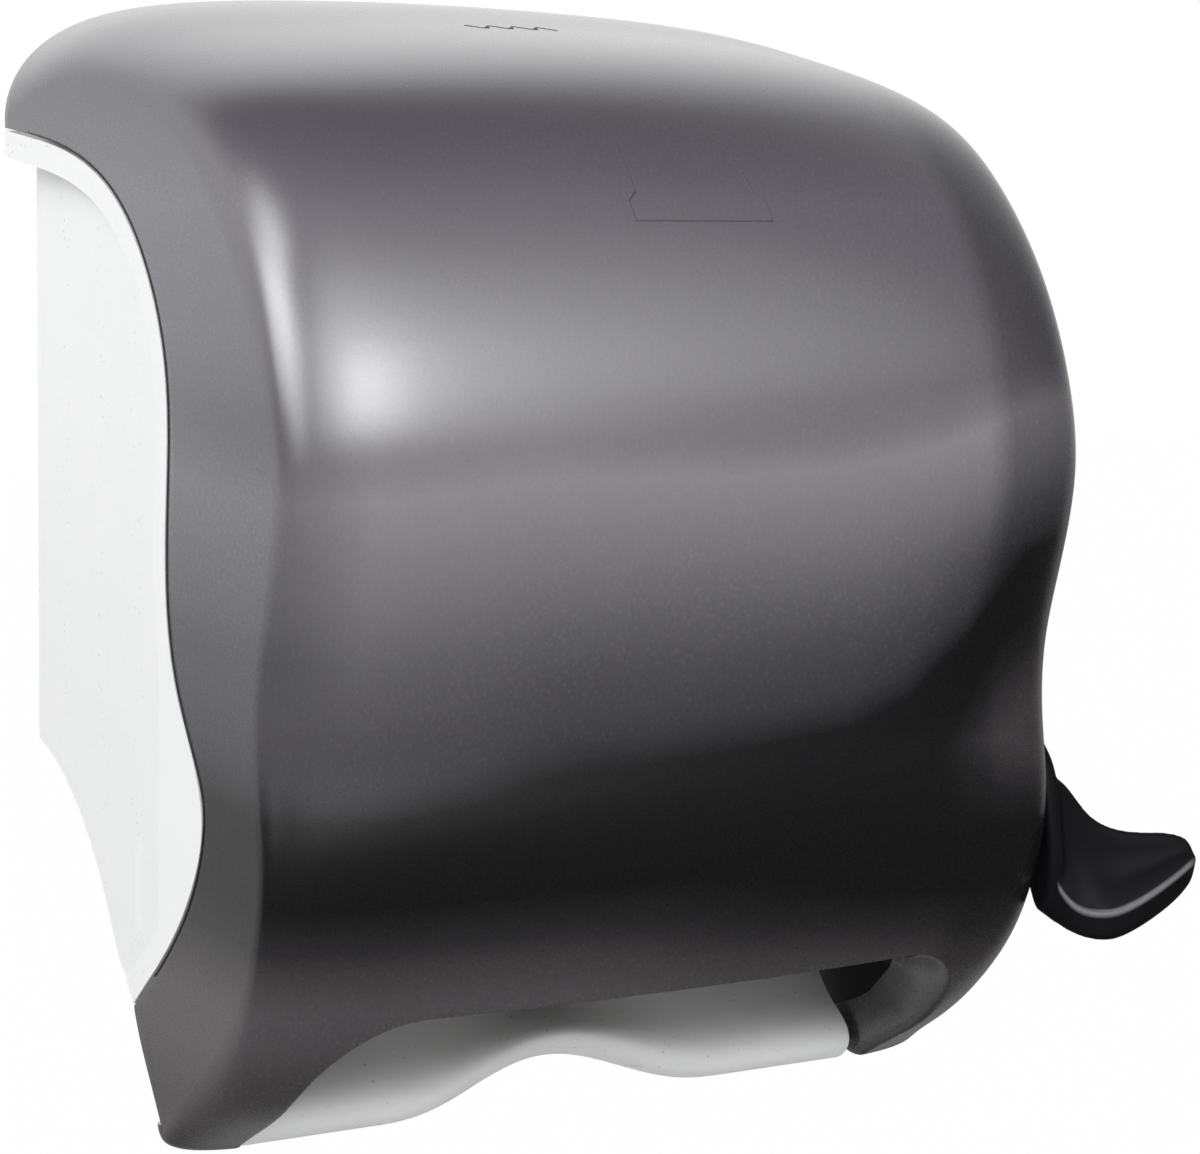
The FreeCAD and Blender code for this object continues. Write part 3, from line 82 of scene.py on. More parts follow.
# Side edge of the cover from the wall over the top to the lower lip:
# reach, height, lean of the outward direction from vertical, rise of the gentle arch,
# depth of the rounded corner, tightness of that corner.
STATIONS = np.array([
    (0, 115, 0, 6.5, 32.5, 6), (36, 125, 4, 6, 20, 7), (70, 126, 12, 8, 12, 8),
    (102, 118.5, 23, 10, 13, 8), (131, 107.5, 35, 11, 15, 8), (155, 88, 47, 11, 17, 8),
    (174, 64, 60, 12, 15, 9), (186, 38, 76, 13, 12, 10), (189, 15, 93, 13, 11, 10),
    (184, -10, 104, 13, 10, 10), (178.5, -33, 98, 13, 9, 10), (178, -55, 86, 13, 9, 10),
    (181, -75, 86, 12, 9, 10), (180, -94, 101, 10, 9, 11), (171, -116, 118, 8, 11, 12),
    (158, -132, 132, 6, 13, 12), (144, -145, 139, 5, 13, 12), (130, -157, 140, 4, 10, 14),
    (119, -168, 136, 3, 6, 16)], float)

# Seam between the cover and the housing rim, then the cover's heel: (reach, height).
SEAM = np.array([(0, 111.5), (45, 106.5), (82, 95), (107, 74), (120.5, 45), (121, 12),
                 (121, -16), (128, -40), (141, -60), (145.5, -74), (139, -93), (122, -114),
                 (98, -135)], float)
HEEL = np.array([(98, -135), (103, -144.5), (110, -154.5), (118, -165.5)], float)

# Back edge of the exit's side wall: x, reach, height, and the height on the exit's edge
# that each point belongs to; the last belongs to the end of the foot.
SIDE_WALL = np.array([
    (80, 180, -126.5, -125), (93, 165, -130.5, -128.75), (100, 148, -135.5, -135),
    (104.8, 138.5, -142, -143.4), (106, 127, -151.8, -153), (106, 114, -158.3, -165.3),
    (106, 107.5, -161, -169.2), (106, 104.6, -164.5, -172.9), (106, 104.7, -168, -180)], float)

# Nose of the chin from the apron to the bottom: (reach, height); then its finger wave.
CHIN_NOSE = np.array([(114.6, -162.6), (117, -164.7), (118.7, -167.3), (119.1, -170.1),
                      (118, -172.7), (115.8, -174.9), (112.7, -176.8), (109.7, -177.7),
                      (106.4, -177.95), (103, -177.6)], float)
WAVE_HEIGHT, WAVE_HALF_WIDTH = 13.0, 54.0
WAVE_TOP, WAVE_RUN, WAVE_PULL = -146, 24, 0.4    # it fades in below this height over this run
PATCH_ROWS, PATCH_COLUMNS, PATCH_HALF_WIDTH, PATCH_INSET = 50, 81, 40, 0.25

# Sections of the lever's palm: x, then (reach, height) of its back top edge, of the front
# ridge and of its lowest point, then its thickness and the depth of the dish.
PALM = np.array([
    (134.6, 175, -78, 177, -105, 175, -118, 5.5, 0.3),
    (138.5, 175.5, -78.5, 181.8, -113.6, 179.5, -121.5, 5.8, 0.8),
    (143.5, 176, -82, 184.5, -118, 184, -124.8, 6, 1.4),
    (149, 177, -88.5, 187.8, -118.8, 187.4, -126, 6.2, 2.0),
    (155, 178.6, -93.5, 189.2, -118, 188.8, -125.8, 6.2, 2.4),
    (162, 180.4, -96, 190.2, -115.4, 189.2, -123.6, 6, 2.3),
    (169, 182, -96.9, 190.4, -112.2, 189, -120.7, 5.6, 1.9),
    (177, 183.4, -97.6, 189.6, -108.6, 188, -117, 5, 1.2),
    (183, 184.5, -99.5, 188.3, -105.9, 186.9, -113, 4, 0.6),
    (186, 185.2, -102.6, 187, -105.2, 186.3, -109.6, 2.6, 0.1)], float)
TIP_START, TIP_LENGTH = 183.6, 2.4       # where its rings begin to close, and over what length

# Side outline of the lever's arm: (reach, height); then its first x, thickness and edge round.
ARM = np.array([(106, -45.2), (130, -49), (156, -59.5), (171, -70), (177, -82), (180.5, -100),
                (180, -113), (175.5, -119.5), (170, -114), (163, -100), (148, -84), (128, -73),
                (108, -70.8), (96.5, -64), (96, -52)], float)
ARM_START, ARM_THICK, ARM_ROUND = 133.5, 6.0, 2.0

# Saw-toothed key slot in the top; its cut and its wedge run from a span of x on the back line
# to a span on the front line, both from the start of a tooth.
KEY_SLOT_START, KEY_SLOT_PITCH, KEY_SLOT_REACH = -16.6, 8.2, (78.4, 84.3)
KEY_SLOT_CUT, KEY_SLOT_WEDGE = ((0, 0.55), (3.4, 3.95)), ((7.7, 8.1), (3.5, 5.4))
KEY_SLOT_TEETH, KEY_SLOT_RAISE = 4, 0.12

# Faint outline on the upper front: (x, height).
WINDOW_LINE_HALF_WIDTH, WINDOW_LINE_RAISE = 0.2, 0.04
WINDOW_LINE = [(-17.5, 120), (-18, 114), (-18.5, 107), (-19, 98), (-22, 95.5), (-22, 90.3),
               (22, 90.3), (22, 95.5), (19, 98), (17.5, 107), (16, 118)]

# Lower edge of the near-black sheet of painted shade beside the exit: (reach, height).
SHADE_SHEET_EDGE = np.array([(88, -148), (95, -158), (99, -163.5), (103.2, -162.9), (106, -161),
                       (109, -160.3), (112, -159.9), (115.5, -160), (120, -158.6), (125, -155.5),
                       (131, -149.5), (136, -142)], float)
SHADE_SHEET_TOP, SHADE_SHEET_X = -133, 107.05
SHADE_SHEET_STEP, SHADE_SHEET_STEP_TOP, SHADE_SHEET_STEP_RUN = 2.3, -138.5, 3


# ------------------------------------------------------------------ curves and meshes
def cubic_through(points, where):
    """Natural cubic spline through rows of points at parameters 0..n-1: second derivatives
    solve the usual tridiagonal system, and each span is the cubic that they give."""
    points = np.asarray(points, float)
    count = len(points)
    system = np.eye(count)
    right = np.zeros_like(points)
    rows = np.arange(1, count - 1)
    system[rows, rows - 1], system[rows, rows], system[rows, rows + 1] = 1, 4, 1
    right[rows] = 6 * (points[rows - 1] - 2 * points[rows] + points[rows + 1])
    bend = np.linalg.solve(system, right)
    where = np.clip(np.asarray(where, float), 0, count - 1)
    span = np.minimum(where.astype(int), count - 2)
    b = (where - span)[..., None]
    a = 1 - b
    return (a * points[span] + b * points[span + 1]
            + ((a ** 3 - a) * bend[span] + (b ** 3 - b) * bend[span + 1]) / 6)


def half_width(reach):
    """Half width of the body at a reach: a straight taper."""
    return WALL_HALF_WIDTH - WIDTH_TAPER * reach / TAPER_REACH


def unit(rows):
    """Rows of vectors scaled to length 1."""
    return rows / np.linalg.norm(rows, axis=1, keepdims=True)


def left_of(rows):
    """Unit vectors a quarter turn to the left of rows of plane vectors."""
    ahead = unit(rows)
    return np.stack([-ahead[:, 1], ahead[:, 0]], 1)


def run_along(points):
    """Length along a polyline up to each of its points."""
    steps = np.linalg.norm(np.diff(points, axis=0), axis=1)
    return np.concatenate([[0], np.cumsum(steps)])


def grid_faces(rows, columns, closed=False):
    """Quads of a rows by columns grid, as one index array; closed joins the last column
    to the first."""
    last = columns if closed else columns - 1
    row, column = np.meshgrid(np.arange(rows - 1), np.arange(last), indexing="ij")
    ahead = (column + 1) % columns
    return np.stack([row * columns + column, row * columns + ahead,
                     (row + 1) * columns + ahead, (row + 1) * columns + column],
                    -1).reshape(-1, 4)


def mesh_piece(name, points, quads, material, body, slot):
    """Smooth-shaded object at the origin from points in millimetres and quads."""
    mesh = bpy.data.meshes.new(name)
    mesh.from_pydata((np.asarray(points, float) * MM).tolist(), [], np.asarray(quads).tolist())
    mesh.validate()
    mesh.polygons.foreach_set("use_smooth", [True] * len(mesh.polygons))
    mesh.materials.append(material)
    piece = bpy.data.objects.new(name, mesh)
    bpy.context.collection.objects.link(piece)
    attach(piece, body)
    return piece


def join_patches(patches):
    """Several (points, quads) patches as one pair of arrays."""
    points, quads, base = [], [], 0
    for spots, faces in patches:
        spots = spots.reshape(-1, 3)
        points.append(spots)
        quads.append(faces + base)
        base += len(spots)
    return np.concatenate(points), np.concatenate(quads)


def rework(piece, change):
    """Change a piece's mesh by a bmesh operation and turn all faces outwards."""
    work = bmesh.new()
    work.from_mesh(piece.data)
    change(work)
    bmesh.ops.recalc_face_normals(work, faces=work.faces)
    work.to_mesh(piece.data)
    work.free()


def weld(piece, distance=0.02):
    """Merge doubled points along patch borders."""
    rework(piece, lambda work: bmesh.ops.remove_doubles(
        work, verts=work.verts, dist=distance * MM))


def modifier(piece, kind, **settings):
    """One modifier with its settings."""
    made = piece.modifiers.new(kind.title(), kind)
    for key, value in settings.items():
        setattr(made, key, value)
    return made


# ------------------------------------------------------------------ shader expressions
class Value:
    """A number in a material's node tree; Python operators add its Math nodes."""

    def __init__(self, maker, link):
        self.maker, self.link = maker, link

    def math(self, operation, one, two):
        return self.maker.node("ShaderNodeMath", {"operation": operation}, {0: one, 1: two})

    def __add__(self, other):
        return self.math("ADD", self, other)

    def __radd__(self, other):
        return self.math("ADD", other, self)

    def __sub__(self, other):
        return self.math("SUBTRACT", self, other)

    def __rsub__(self, other):
        return self.math("SUBTRACT", other, self)

    def __mul__(self, other):
        return self.math("MULTIPLY", self, other)

    def __rmul__(self, other):
        return self.math("MULTIPLY", other, self)

    def either(self, other):
        """The larger of two."""
        return self.math("MAXIMUM", self, other)


class Maker:
    """Builds one material; node() takes a type, its settings, and values or links by socket."""

    def __init__(self, name):
        self.material = bpy.data.materials.new(name)
        self.material.use_nodes = True
        self.tree = self.material.node_tree
        self.shader = self.tree.nodes["Principled BSDF"]
        coordinates = self.tree.nodes.new("ShaderNodeTexCoord")
        self.place = Value(self, coordinates.outputs["Object"])

    @classmethod
    def bare(cls, tree):
        """Maker for the world: an emptied tree without the main shader."""
        made = cls.__new__(cls)
        made.tree = tree
        tree.nodes.clear()
        return made

    def node(self, kind, settings=None, inputs=None, output=0):
        made = self.tree.nodes.new(kind)
        for key, setting in (settings or {}).items():
            if key == "stops":
                ramp = made.color_ramp
                while len(ramp.elements) < len(setting):
                    ramp.elements.new(0.5)
                for element, (at, shade) in zip(ramp.elements, setting):
                    element.position = at
                    element.color = shade if isinstance(shade, tuple) else (shade,) * 3 + (1,)
            else:
                setattr(made, key, setting)
        for key, given in (inputs or {}).items():
            self.put(made.inputs[key], given)
        return Value(self, made.outputs[output])

    def put(self, socket, given):
        if isinstance(given, Value):
            self.tree.links.new(given.link, socket)
        else:
            socket.default_value = given

    def set(self, **sockets):
        """Sets sockets of the main shader, named with _ for spaces."""
        for key, given in sockets.items():
            self.put(self.shader.inputs[key.replace("_", " ")], given)
        return self

    def split(self, vector, axis):
        return self.node("ShaderNodeSeparateXYZ", {}, {0: vector}, axis)

    def level(self, given, low, high):
        """0 at low, 1 at high, clamped."""
        return self.node("ShaderNodeMapRange", {}, {0: given, 1: low, 2: high})

    def noise(self, scale, detail=2.0):
        return self.node("ShaderNodeTexNoise", {}, {"Vector": self.place, "Scale": scale,
                                                    "Detail": detail, "Roughness": 0.5})

    def ramp(self, factor, *stops):
        return self.node("ShaderNodeValToRGB", {"stops": stops}, {"Fac": factor})

    def mix(self, factor, one, two):
        """Colour mix: one at 0, two at 1."""
        return self.node("ShaderNodeMix", {"data_type": "RGBA"}, {0: factor, 6: one, 7: two}, 2)

    def ray(self, kind):
        """1 for rays of a kind, such as "Is Camera Ray"."""
        return Value(self, self.tree.nodes.new("ShaderNodeLightPath").outputs[kind])

    def white_light(self, kind, strength):
        """Emission or background shader, white."""
        return self.node(kind, {}, {"Color": rgb(1, 1, 1), "Strength": strength})

    def bump(self, height, strength, distance):
        return self.node("ShaderNodeBump", {}, {"Height": height, "Strength": strength,
                                                "Distance": distance})


def rgb(red, green, blue):
    """Linear colour with full alpha."""
    return (red, green, blue, 1.0)


# Height in metres and tone of the smoke plastic, with light and shade painted in: lighter
# and darker painted bands by height, a paler one at the exit's lip, a near-black one across
# the lower front and the lightest a little above mid height.  The tones stand in for what
# shows through the moulding and for part of the light on it.  They were worked out from
# brightness readings for one view and one light, and hold for no other.
TONES_WITH_PAINTED_LIGHT = [(-0.178, rgb(0.050, 0.044, 0.048)), (-0.150, rgb(0.048, 0.042, 0.046)),
              (-0.128, rgb(0.078, 0.069, 0.075)), (-0.118, rgb(0.078, 0.069, 0.075)),
              (-0.108, rgb(0.052, 0.046, 0.050)), (-0.098, rgb(0.020, 0.018, 0.020)),
              (-0.086, rgb(0.0045, 0.0045, 0.005)), (-0.070, rgb(0.004, 0.004, 0.005)),
              (-0.062, rgb(0.006, 0.006, 0.007)), (-0.051, rgb(0.040, 0.038, 0.044)),
              (-0.040, rgb(0.062, 0.059, 0.067)), (-0.030, rgb(0.088, 0.084, 0.093)),
              (-0.019, rgb(0.121, 0.116, 0.127)), (-0.008, rgb(0.158, 0.151, 0.165)),
              (0.003, rgb(0.186, 0.178, 0.194)), (0.014, rgb(0.208, 0.199, 0.217)),
              (0.023, rgb(0.220, 0.210, 0.230)), (0.033, rgb(0.155, 0.147, 0.164)),
              (0.045, rgb(0.106, 0.100, 0.116)), (0.070, rgb(0.092, 0.087, 0.101)),
              (0.100, rgb(0.100, 0.095, 0.110)),
              (0.125, rgb(0.062, 0.058, 0.069)), (0.150, rgb(0.064, 0.060, 0.071))]
# How far down the upper painted bands of light and shade are drawn at each x: (x, drop) in metres,
# from such readings too.
TILT = [(-0.100, 0), (-0.077, 0.003), (-0.055, 0.0065), (-0.005, 0.0095), (0.046, 0.014),
        (0.068, 0.021), (0.087, 0.036), (0.104, 0.060), (0.120, 0.070)]
LOWEST, HIGHEST = -0.178, 0.156
# Near-black tone of the painted shade band at each side of the front.
PAINTED_SHADE_TONE = rgb(0.004, 0.004, 0.005)


def smoke_plastic():
    """Smoky moulding, drawn opaque, with a satin, faintly pearly skin.  Its tone follows the
    height, with light and shade painted in by the table of tones; its bands are drawn down to
    the right by TILT between two heights, raised a little at the lower right, and darkened in
    a painted shade band at each side.  All in metres."""
    m = Maker("smoke_plastic")
    cloud = m.noise(9.0, 3.0)
    grain = m.noise(900.0, 2.0)
    aside = m.split(m.place, 0)
    height = m.split(m.place, 2)
    left, right = TILT[0][0], TILT[-1][0]
    drop = TILT[-1][1] * m.ramp(m.level(aside, left, right),
                                *[((x - left) / (right - left), d / TILT[-1][1]) for x, d in TILT])
    middle = m.level(height, -0.088, -0.060) * m.level(height, 0.060, -0.005)
    low = m.level(aside, -0.02, 0.09) * m.level(height, -0.088, -0.100)
    toned = height + 0.010 * cloud - drop * middle + 0.015 * low
    # Tone by height, with painted light and shade in its bands.
    body = m.ramp(m.level(toned, LOWEST, HIGHEST),
                  *[((z - LOWEST) / (HIGHEST - LOWEST), shade) for z, shade in TONES_WITH_PAINTED_LIGHT])
    # Painted shade: a dark band down the right of the front, and one in the left rounding between
    # the flank and the front.
    right_shade_band = 0.45 * m.level(aside, 0.086, 0.096) * m.level(aside, 0.1305, 0.127)
    left_shade_band = 0.42 * m.level(aside, -0.106, -0.126) * m.level(height, -0.050, -0.025)
    left_shade_band = left_shade_band * m.level(height, 0.060, 0.035)
    body = m.mix(right_shade_band.either(left_shade_band), body, PAINTED_SHADE_TONE)
    m.set(Base_Color=body, Metallic=0.0, Roughness=0.265 + 0.015 * grain, IOR=1.9, Alpha=1.0,
          Normal=m.bump(grain, 0.008, 0.00008))
    return m.material


def specks(m, scale, radius, share):
    """Soft-edged dots: cells of a Voronoi pattern within a radius of their middles, in the
    share of the cells whose random colour is highest; the colour also sets how dark each is."""
    cell = {"Vector": m.place, "Scale": scale}
    near = m.node("ShaderNodeTexVoronoi", {}, cell)
    pick = m.node("ShaderNodeSeparateColor", {}, {0: m.node("ShaderNodeTexVoronoi", {}, cell, 1)})
    return m.level(near, radius * 1.35, radius * 0.65) * m.level(pick, 1 - share, 1.0)


def speckled_white():
    """White moulding with sparse fine grey granite specks, softly varied."""
    m = Maker("speckled_white")
    drift = m.noise(60.0, 2.0)
    base = m.mix(drift, rgb(0.745, 0.75, 0.755), rgb(0.775, 0.78, 0.775))
    coarse = specks(m, 390.0, 0.17, 0.22)
    fine = specks(m, 800.0, 0.22, 0.22)
    colour = m.mix(0.45 * coarse.either(0.5 * fine), base, rgb(0.16, 0.16, 0.17))
    grain = m.noise(700.0, 2.0)
    m.set(Base_Color=colour, Roughness=0.36 + 0.08 * grain, Normal=m.bump(grain, 0.06, 0.0001))
    return m.material


def plain(name, colour, rough, metal=0.0, grain_scale=500.0, depth=0.0001, spread=0.08, coat=0.0):
    """One-colour finish with fine grain in its tone, roughness and surface."""
    m = Maker(name)
    grain = m.noise(grain_scale, 3.0)
    dark = rgb(*(c * 0.86 for c in colour))
    m.set(Base_Color=m.mix(grain, dark, rgb(*colour)), Metallic=metal,
          Roughness=rough + spread * grain, Coat_Weight=coat,
          Normal=m.bump(grain, 0.12, depth))
    return m.material


def ridged_black():
    """Satin black with a painted highlight: a paler line along its front ridge, a curve over x,
    with a clear coat on that line.
    """
    m = Maker("palm_black")
    grain = m.noise(900.0, 2.0)
    aside, back, height = (m.split(m.place, axis) for axis in range(3))
    rows = cubic_through(PALM, np.linspace(0, len(PALM) - 1, 28))
    start, end = rows[0, 0], rows[-1, 0]
    along = m.level(aside, start * MM, end * MM)
    near, low = rows[:, 3].min(), rows[:, 4].min()
    spans = rows[:, 3].max() - near, rows[:, 4].max() - low
    where = (rows[:, 0] - start) / (end - start)
    ridge_reach = m.ramp(along, *zip(where, (rows[:, 3] - near) / spans[0])) * (spans[0] * MM)
    ridge_height = m.ramp(along, *zip(where, (rows[:, 4] - low) / spans[1])) * (spans[1] * MM)
    off = back + near * MM + ridge_reach
    over = height - low * MM - ridge_height
    apart = m.node("ShaderNodeMath", {"operation": "SQRT"}, {0: off * off + over * over})
    # Painted highlight: a paler line within about 1.5 mm of the front ridge, from near the arm to
    # short of the tip.
    ridge = m.level(apart, 0.0015, 0.0002) * m.level(aside, 0.1855, 0.181)
    ridge = ridge * m.level(aside, 0.1347, 0.1375)
    # The paler base colour on the ridge is the painted highlight.
    m.set(Base_Color=m.mix(ridge, rgb(0.007, 0.007, 0.0085), rgb(0.17, 0.17, 0.175)),
          Roughness=0.42 + 0.06 * grain, IOR=1.16, Coat_Weight=ridge,
          Normal=m.bump(grain, 0.10, 0.0001))
    return m.material


SMOKE = smoke_plastic()
WHITE = speckled_white()
BLACK = plain("lever_black", (0.011, 0.011, 0.013), 0.34, coat=0.15)
PALM_BLACK = ridged_black()
GREY = plain("frame_grey", (0.16, 0.165, 0.17), 0.45)
BEARING = plain("bearing_white", (0.62, 0.61, 0.57), 0.38)
STEEL = plain("plain_steel", (0.55, 0.55, 0.56), 0.28, metal=1.0, grain_scale=260.0, depth=0.00003)
RUBBER = plain("dark_rubber", (0.028, 0.028, 0.03), 0.72, grain_scale=800.0, depth=0.0002)
# Near black for painted shade: the key slot's strip, the sheets in the gaps beside the exit and
# the shadow lines along the seam.
SHADE_BLACK = plain("painted_shade_black", (0.006, 0.006, 0.007), 0.6)
LINE = plain("line_smoke", (0.066, 0.062, 0.073), 0.30)

SLOT_MATERIALS = {"cover_smoke": SMOKE, "housing_white": WHITE, "lever_black": BLACK,
                  "frame_grey": GREY, "bearing_white": BEARING, "steel": STEEL,
                  "rubber_dark": RUBBER}
for part in frame["record"]["subparts"]:
    node = frame["nodes"][part["node"]]
    node.data.materials.clear()
    node.data.materials.append(SLOT_MATERIALS[part["material_slot"]])


# ------------------------------------------------------------------ cover
def dome_points(along, share, inset=0.0):
    """The dome: at a station, x runs to the half width times share, and the surface stands
    off the side edge along the lean by rise*(1-share^2) + corner*sqrt(1-|share|^tight)."""
    reach, height, lean, rise, corner, tight = np.moveaxis(cubic_through(STATIONS, along), -1, 0)
    share = np.clip(share, -1, 1)
    lift = rise * (1 - share ** 2) + corner * np.sqrt(np.maximum(0, 1 - np.abs(share) ** tight))
    lift = lift - inset
    lean = np.radians(lean)
    return np.stack([share * (half_width(reach) - inset), -(reach + np.sin(lean) * lift),
                     height + np.cos(lean) * lift], -1)


def dome_at(along, x, inset=0.0):
    """The dome at station parameters and at x in millimetres."""
    widths = half_width(cubic_through(STATIONS, along)[..., 0])
    return dome_points(along, x / widths, inset)


def station_where(x, stations, ahead):
    """Station parameter where the dome at x passes a limit, by bisection between two stations;
    ahead(points) is true where the limit is still to come."""
    low, high = (np.full_like(x, station) for station in stations)
    for _ in range(HALVINGS):
        middle = (low + high) / 2
        short = ahead(dome_at(middle, x))
        low, high = np.where(short, middle, low), np.where(short, high, middle)
    return (low + high) / 2


def lip_height(x):
    """Height of the exit's edge: straight lip with quarter rounds to the sides."""
    over = np.maximum(0, np.abs(x) - (EXIT_HALF_WIDTH - EXIT_CORNER))
    return EXIT_TOP - EXIT_CORNER + np.sqrt(np.maximum(0, EXIT_CORNER ** 2 - over ** 2))


def bow(start, leave, end, arrive, count):
    """Rows of points on cubic arcs from start, leaving along one vector, to end, arriving
    along another: the Hermite cubic of each column."""
    t = np.linspace(0, 1, count)[:, None, None]
    return ((2 * t ** 3 - 3 * t ** 2 + 1) * start + (t ** 3 - 2 * t ** 2 + t) * leave
            + (3 * t ** 2 - 2 * t ** 3) * end + (t ** 3 - t ** 2) * arrive)


def foot_patch(last_row):
    """Foot of the cover beside the exit: the dome's last row rolls under the hinge pin and
    up behind it; towards the flank, where share is 1, the roll shrinks to the heel's end."""
    share = np.linspace(0, 1, len(last_row))[:, None] ** 2
    reach, height, leaving, arriving = (start + change * share for start, change in FOOT_ROLL)
    end = np.concatenate([last_row[:, :1], -reach, height], 1)
    return bow(last_row, np.array([0, 0.69, -0.72]) * leaving, end,
               np.array([0, 0.0, 1.0]) * arriving, ROLL_ROWS)


def side_wall_patch(edge):
    """Wall from the exit's side edge in to its back edge; it leaves the dome towards the
    middle of the exit, which rounds the fold between the two."""
    turn = np.clip((edge[:, 0] - EXIT_HALF_WIDTH + EXIT_CORNER) / EXIT_CORNER, 0, 1)
    fall = np.sqrt(1 - turn ** 2)
    fold = FOLD_AT_LIP + FOLD_GAIN * turn[:, None]
    leave = np.stack([-turn, 0.85 * fall, -fall], 1) * fold
    run = run_along(edge)
    straight = int(np.argmin(edge[:, 2]))
    marks = np.interp(-SIDE_WALL[:, 3], -edge[:straight, 2], run[:straight])
    marks[-1] = run[-1]
    back = cubic_through(SIDE_WALL[:, :3] * (1, -1, 1),
                         np.interp(run, marks, np.arange(len(marks))))
    return bow(edge, leave, back, (back - edge) * 0.8, WALL_ROWS)


def flank_patch(edge):
    """Flat flank, ruled between the dome's side edge and the seam with its heel."""
    seam = cubic_through(SEAM, np.linspace(0, len(SEAM) - 1, SEAM_STEPS))
    seam = seam + left_of(np.gradient(seam, axis=0)) * SEAM_GAP
    heel = cubic_through(HEEL, np.linspace(0, len(HEEL) - 1, HEEL_STEPS))
    seam = np.concatenate([seam, heel[HEEL_SKIP:]])
    run, drop = run_along(seam), run_along(edge[:, 1:])
    reach, height = (np.interp(drop / drop[-1], run / run[-1], seam[:, axis]) for axis in (0, 1))
    inner = np.stack([half_width(reach), -reach, height], 1)
    across = np.linspace(0, 1, FLANK_COLUMNS)[None, :, None]
    flank = edge[:, None] * (1 - across) + inner[:, None] * across
    flank[..., 0] = half_width(-flank[..., 1])
    return flank


def cover():
    """Cover skin: the dome in three strips, so that its columns end on the exit, then the foot
    and wall beside the exit and the flat flanks; one skin with a wall thickness behind it."""
    upper = np.linspace(0, LOWER_START, UPPER_ROWS)
    # central strip, |x| up to the exit's half width
    crowded = np.sin(np.linspace(-0.5, 0.5, LIP_COLUMNS) * math.pi)
    even = np.linspace(-1, 1, LIP_COLUMNS)
    columns = EXIT_HALF_WIDTH * (CROWDING * crowded + (1 - CROWDING) * even)
    lip = station_where(columns, LIP_STATIONS, lambda dome: dome[..., 2] > lip_height(columns))
    lower = LOWER_START + np.linspace(0, 1, LIP_ROWS + 1)[1:, None] * (lip - LOWER_START)[None, :]
    centre = dome_at(np.concatenate([np.repeat(upper[:, None], LIP_COLUMNS, 1), lower]), columns)
    patches = [(centre, grid_faces(*centre.shape[:2]))]
    # side strips, from the exit's side to the corner
    beside = np.linspace(lower[-1, 0], len(STATIONS) - 1, FOOT_ROWS)[1:]
    edge_rows = np.concatenate([upper, lower[:, 0], beside])
    along = np.repeat(edge_rows[:, None], SIDE_COLUMNS, 1)
    widths = half_width(cubic_through(STATIONS, along)[..., 0])
    start = np.arcsin(EXIT_HALF_WIDTH / widths) * 2 / math.pi
    spread = np.linspace(0, 1, SIDE_COLUMNS)[None, :]
    side = dome_points(along, np.sin(0.5 * math.pi * (start + (1 - start) * spread)))
    foot = foot_patch(side[-1])
    corner = centre[-1][columns >= EXIT_HALF_WIDTH - EXIT_CORNER]
    wall = side_wall_patch(np.concatenate([corner, side[UPPER_ROWS + LIP_ROWS:, 0], foot[1:, 0]]))
    flank = flank_patch(dome_points(edge_rows, np.ones_like(edge_rows)))
    for group in ((side, foot, wall), (flank,)):
        for sign in (-1, 1):
            for patch in group:
                patches.append((patch * (sign, 1, 1), grid_faces(*patch.shape[:2])))
    piece = mesh_piece("cover_skin", *join_patches(patches), SMOKE, "cover", "cover_smoke")
    weld(piece)
    modifier(piece, "SOLIDIFY", thickness=COVER_WALL * MM, offset=-1, use_even_offset=False)
    modifier(piece, "BEVEL", width=0.7 * MM, segments=2, limit_method="ANGLE",
             angle_limit=math.radians(55))
    return piece


def key_slot():
    """Saw-toothed key slot as a sunk near-black strip in the top, painted shade for the slot's
    hollow, which is not cut into the cover.  Each tooth is a thin slanted cut out from the back
    line to the front line, then a wedge that narrows on its way back; both are ruled between a
    span of x on the back line and a span on the front line."""
    shapes = [KEY_SLOT_CUT, KEY_SLOT_WEDGE] * KEY_SLOT_TEETH
    out = np.linspace(0, 1, 13)[:, None]
    over = np.linspace(0, 1, 4)[None, :]
    patches = []
    for index, shape in enumerate(shapes[:-1]):
        start = KEY_SLOT_START + index // 2 * KEY_SLOT_PITCH
        (back_low, back_high), (front_low, front_high) = (
            [start + at for at in line] for line in shape)
        x = (back_low + (front_low - back_low) * out) * (1 - over) + (
            back_high + (front_high - back_high) * out) * over
        reach = KEY_SLOT_REACH[0] + (KEY_SLOT_REACH[1] - KEY_SLOT_REACH[0]) * out + 0 * over
        at = station_where(x, TOP_STATIONS, lambda dome: -dome[..., 1] < reach)
        patches.append((dome_at(at, x, -KEY_SLOT_RAISE), grid_faces(*x.shape)))
    piece = mesh_piece("key_slot", *join_patches(patches), SHADE_BLACK, "cover", "cover_smoke")
    weld(piece, 0.001)
    modifier(piece, "SOLIDIFY", thickness=0.5 * MM, offset=-1)
    return piece


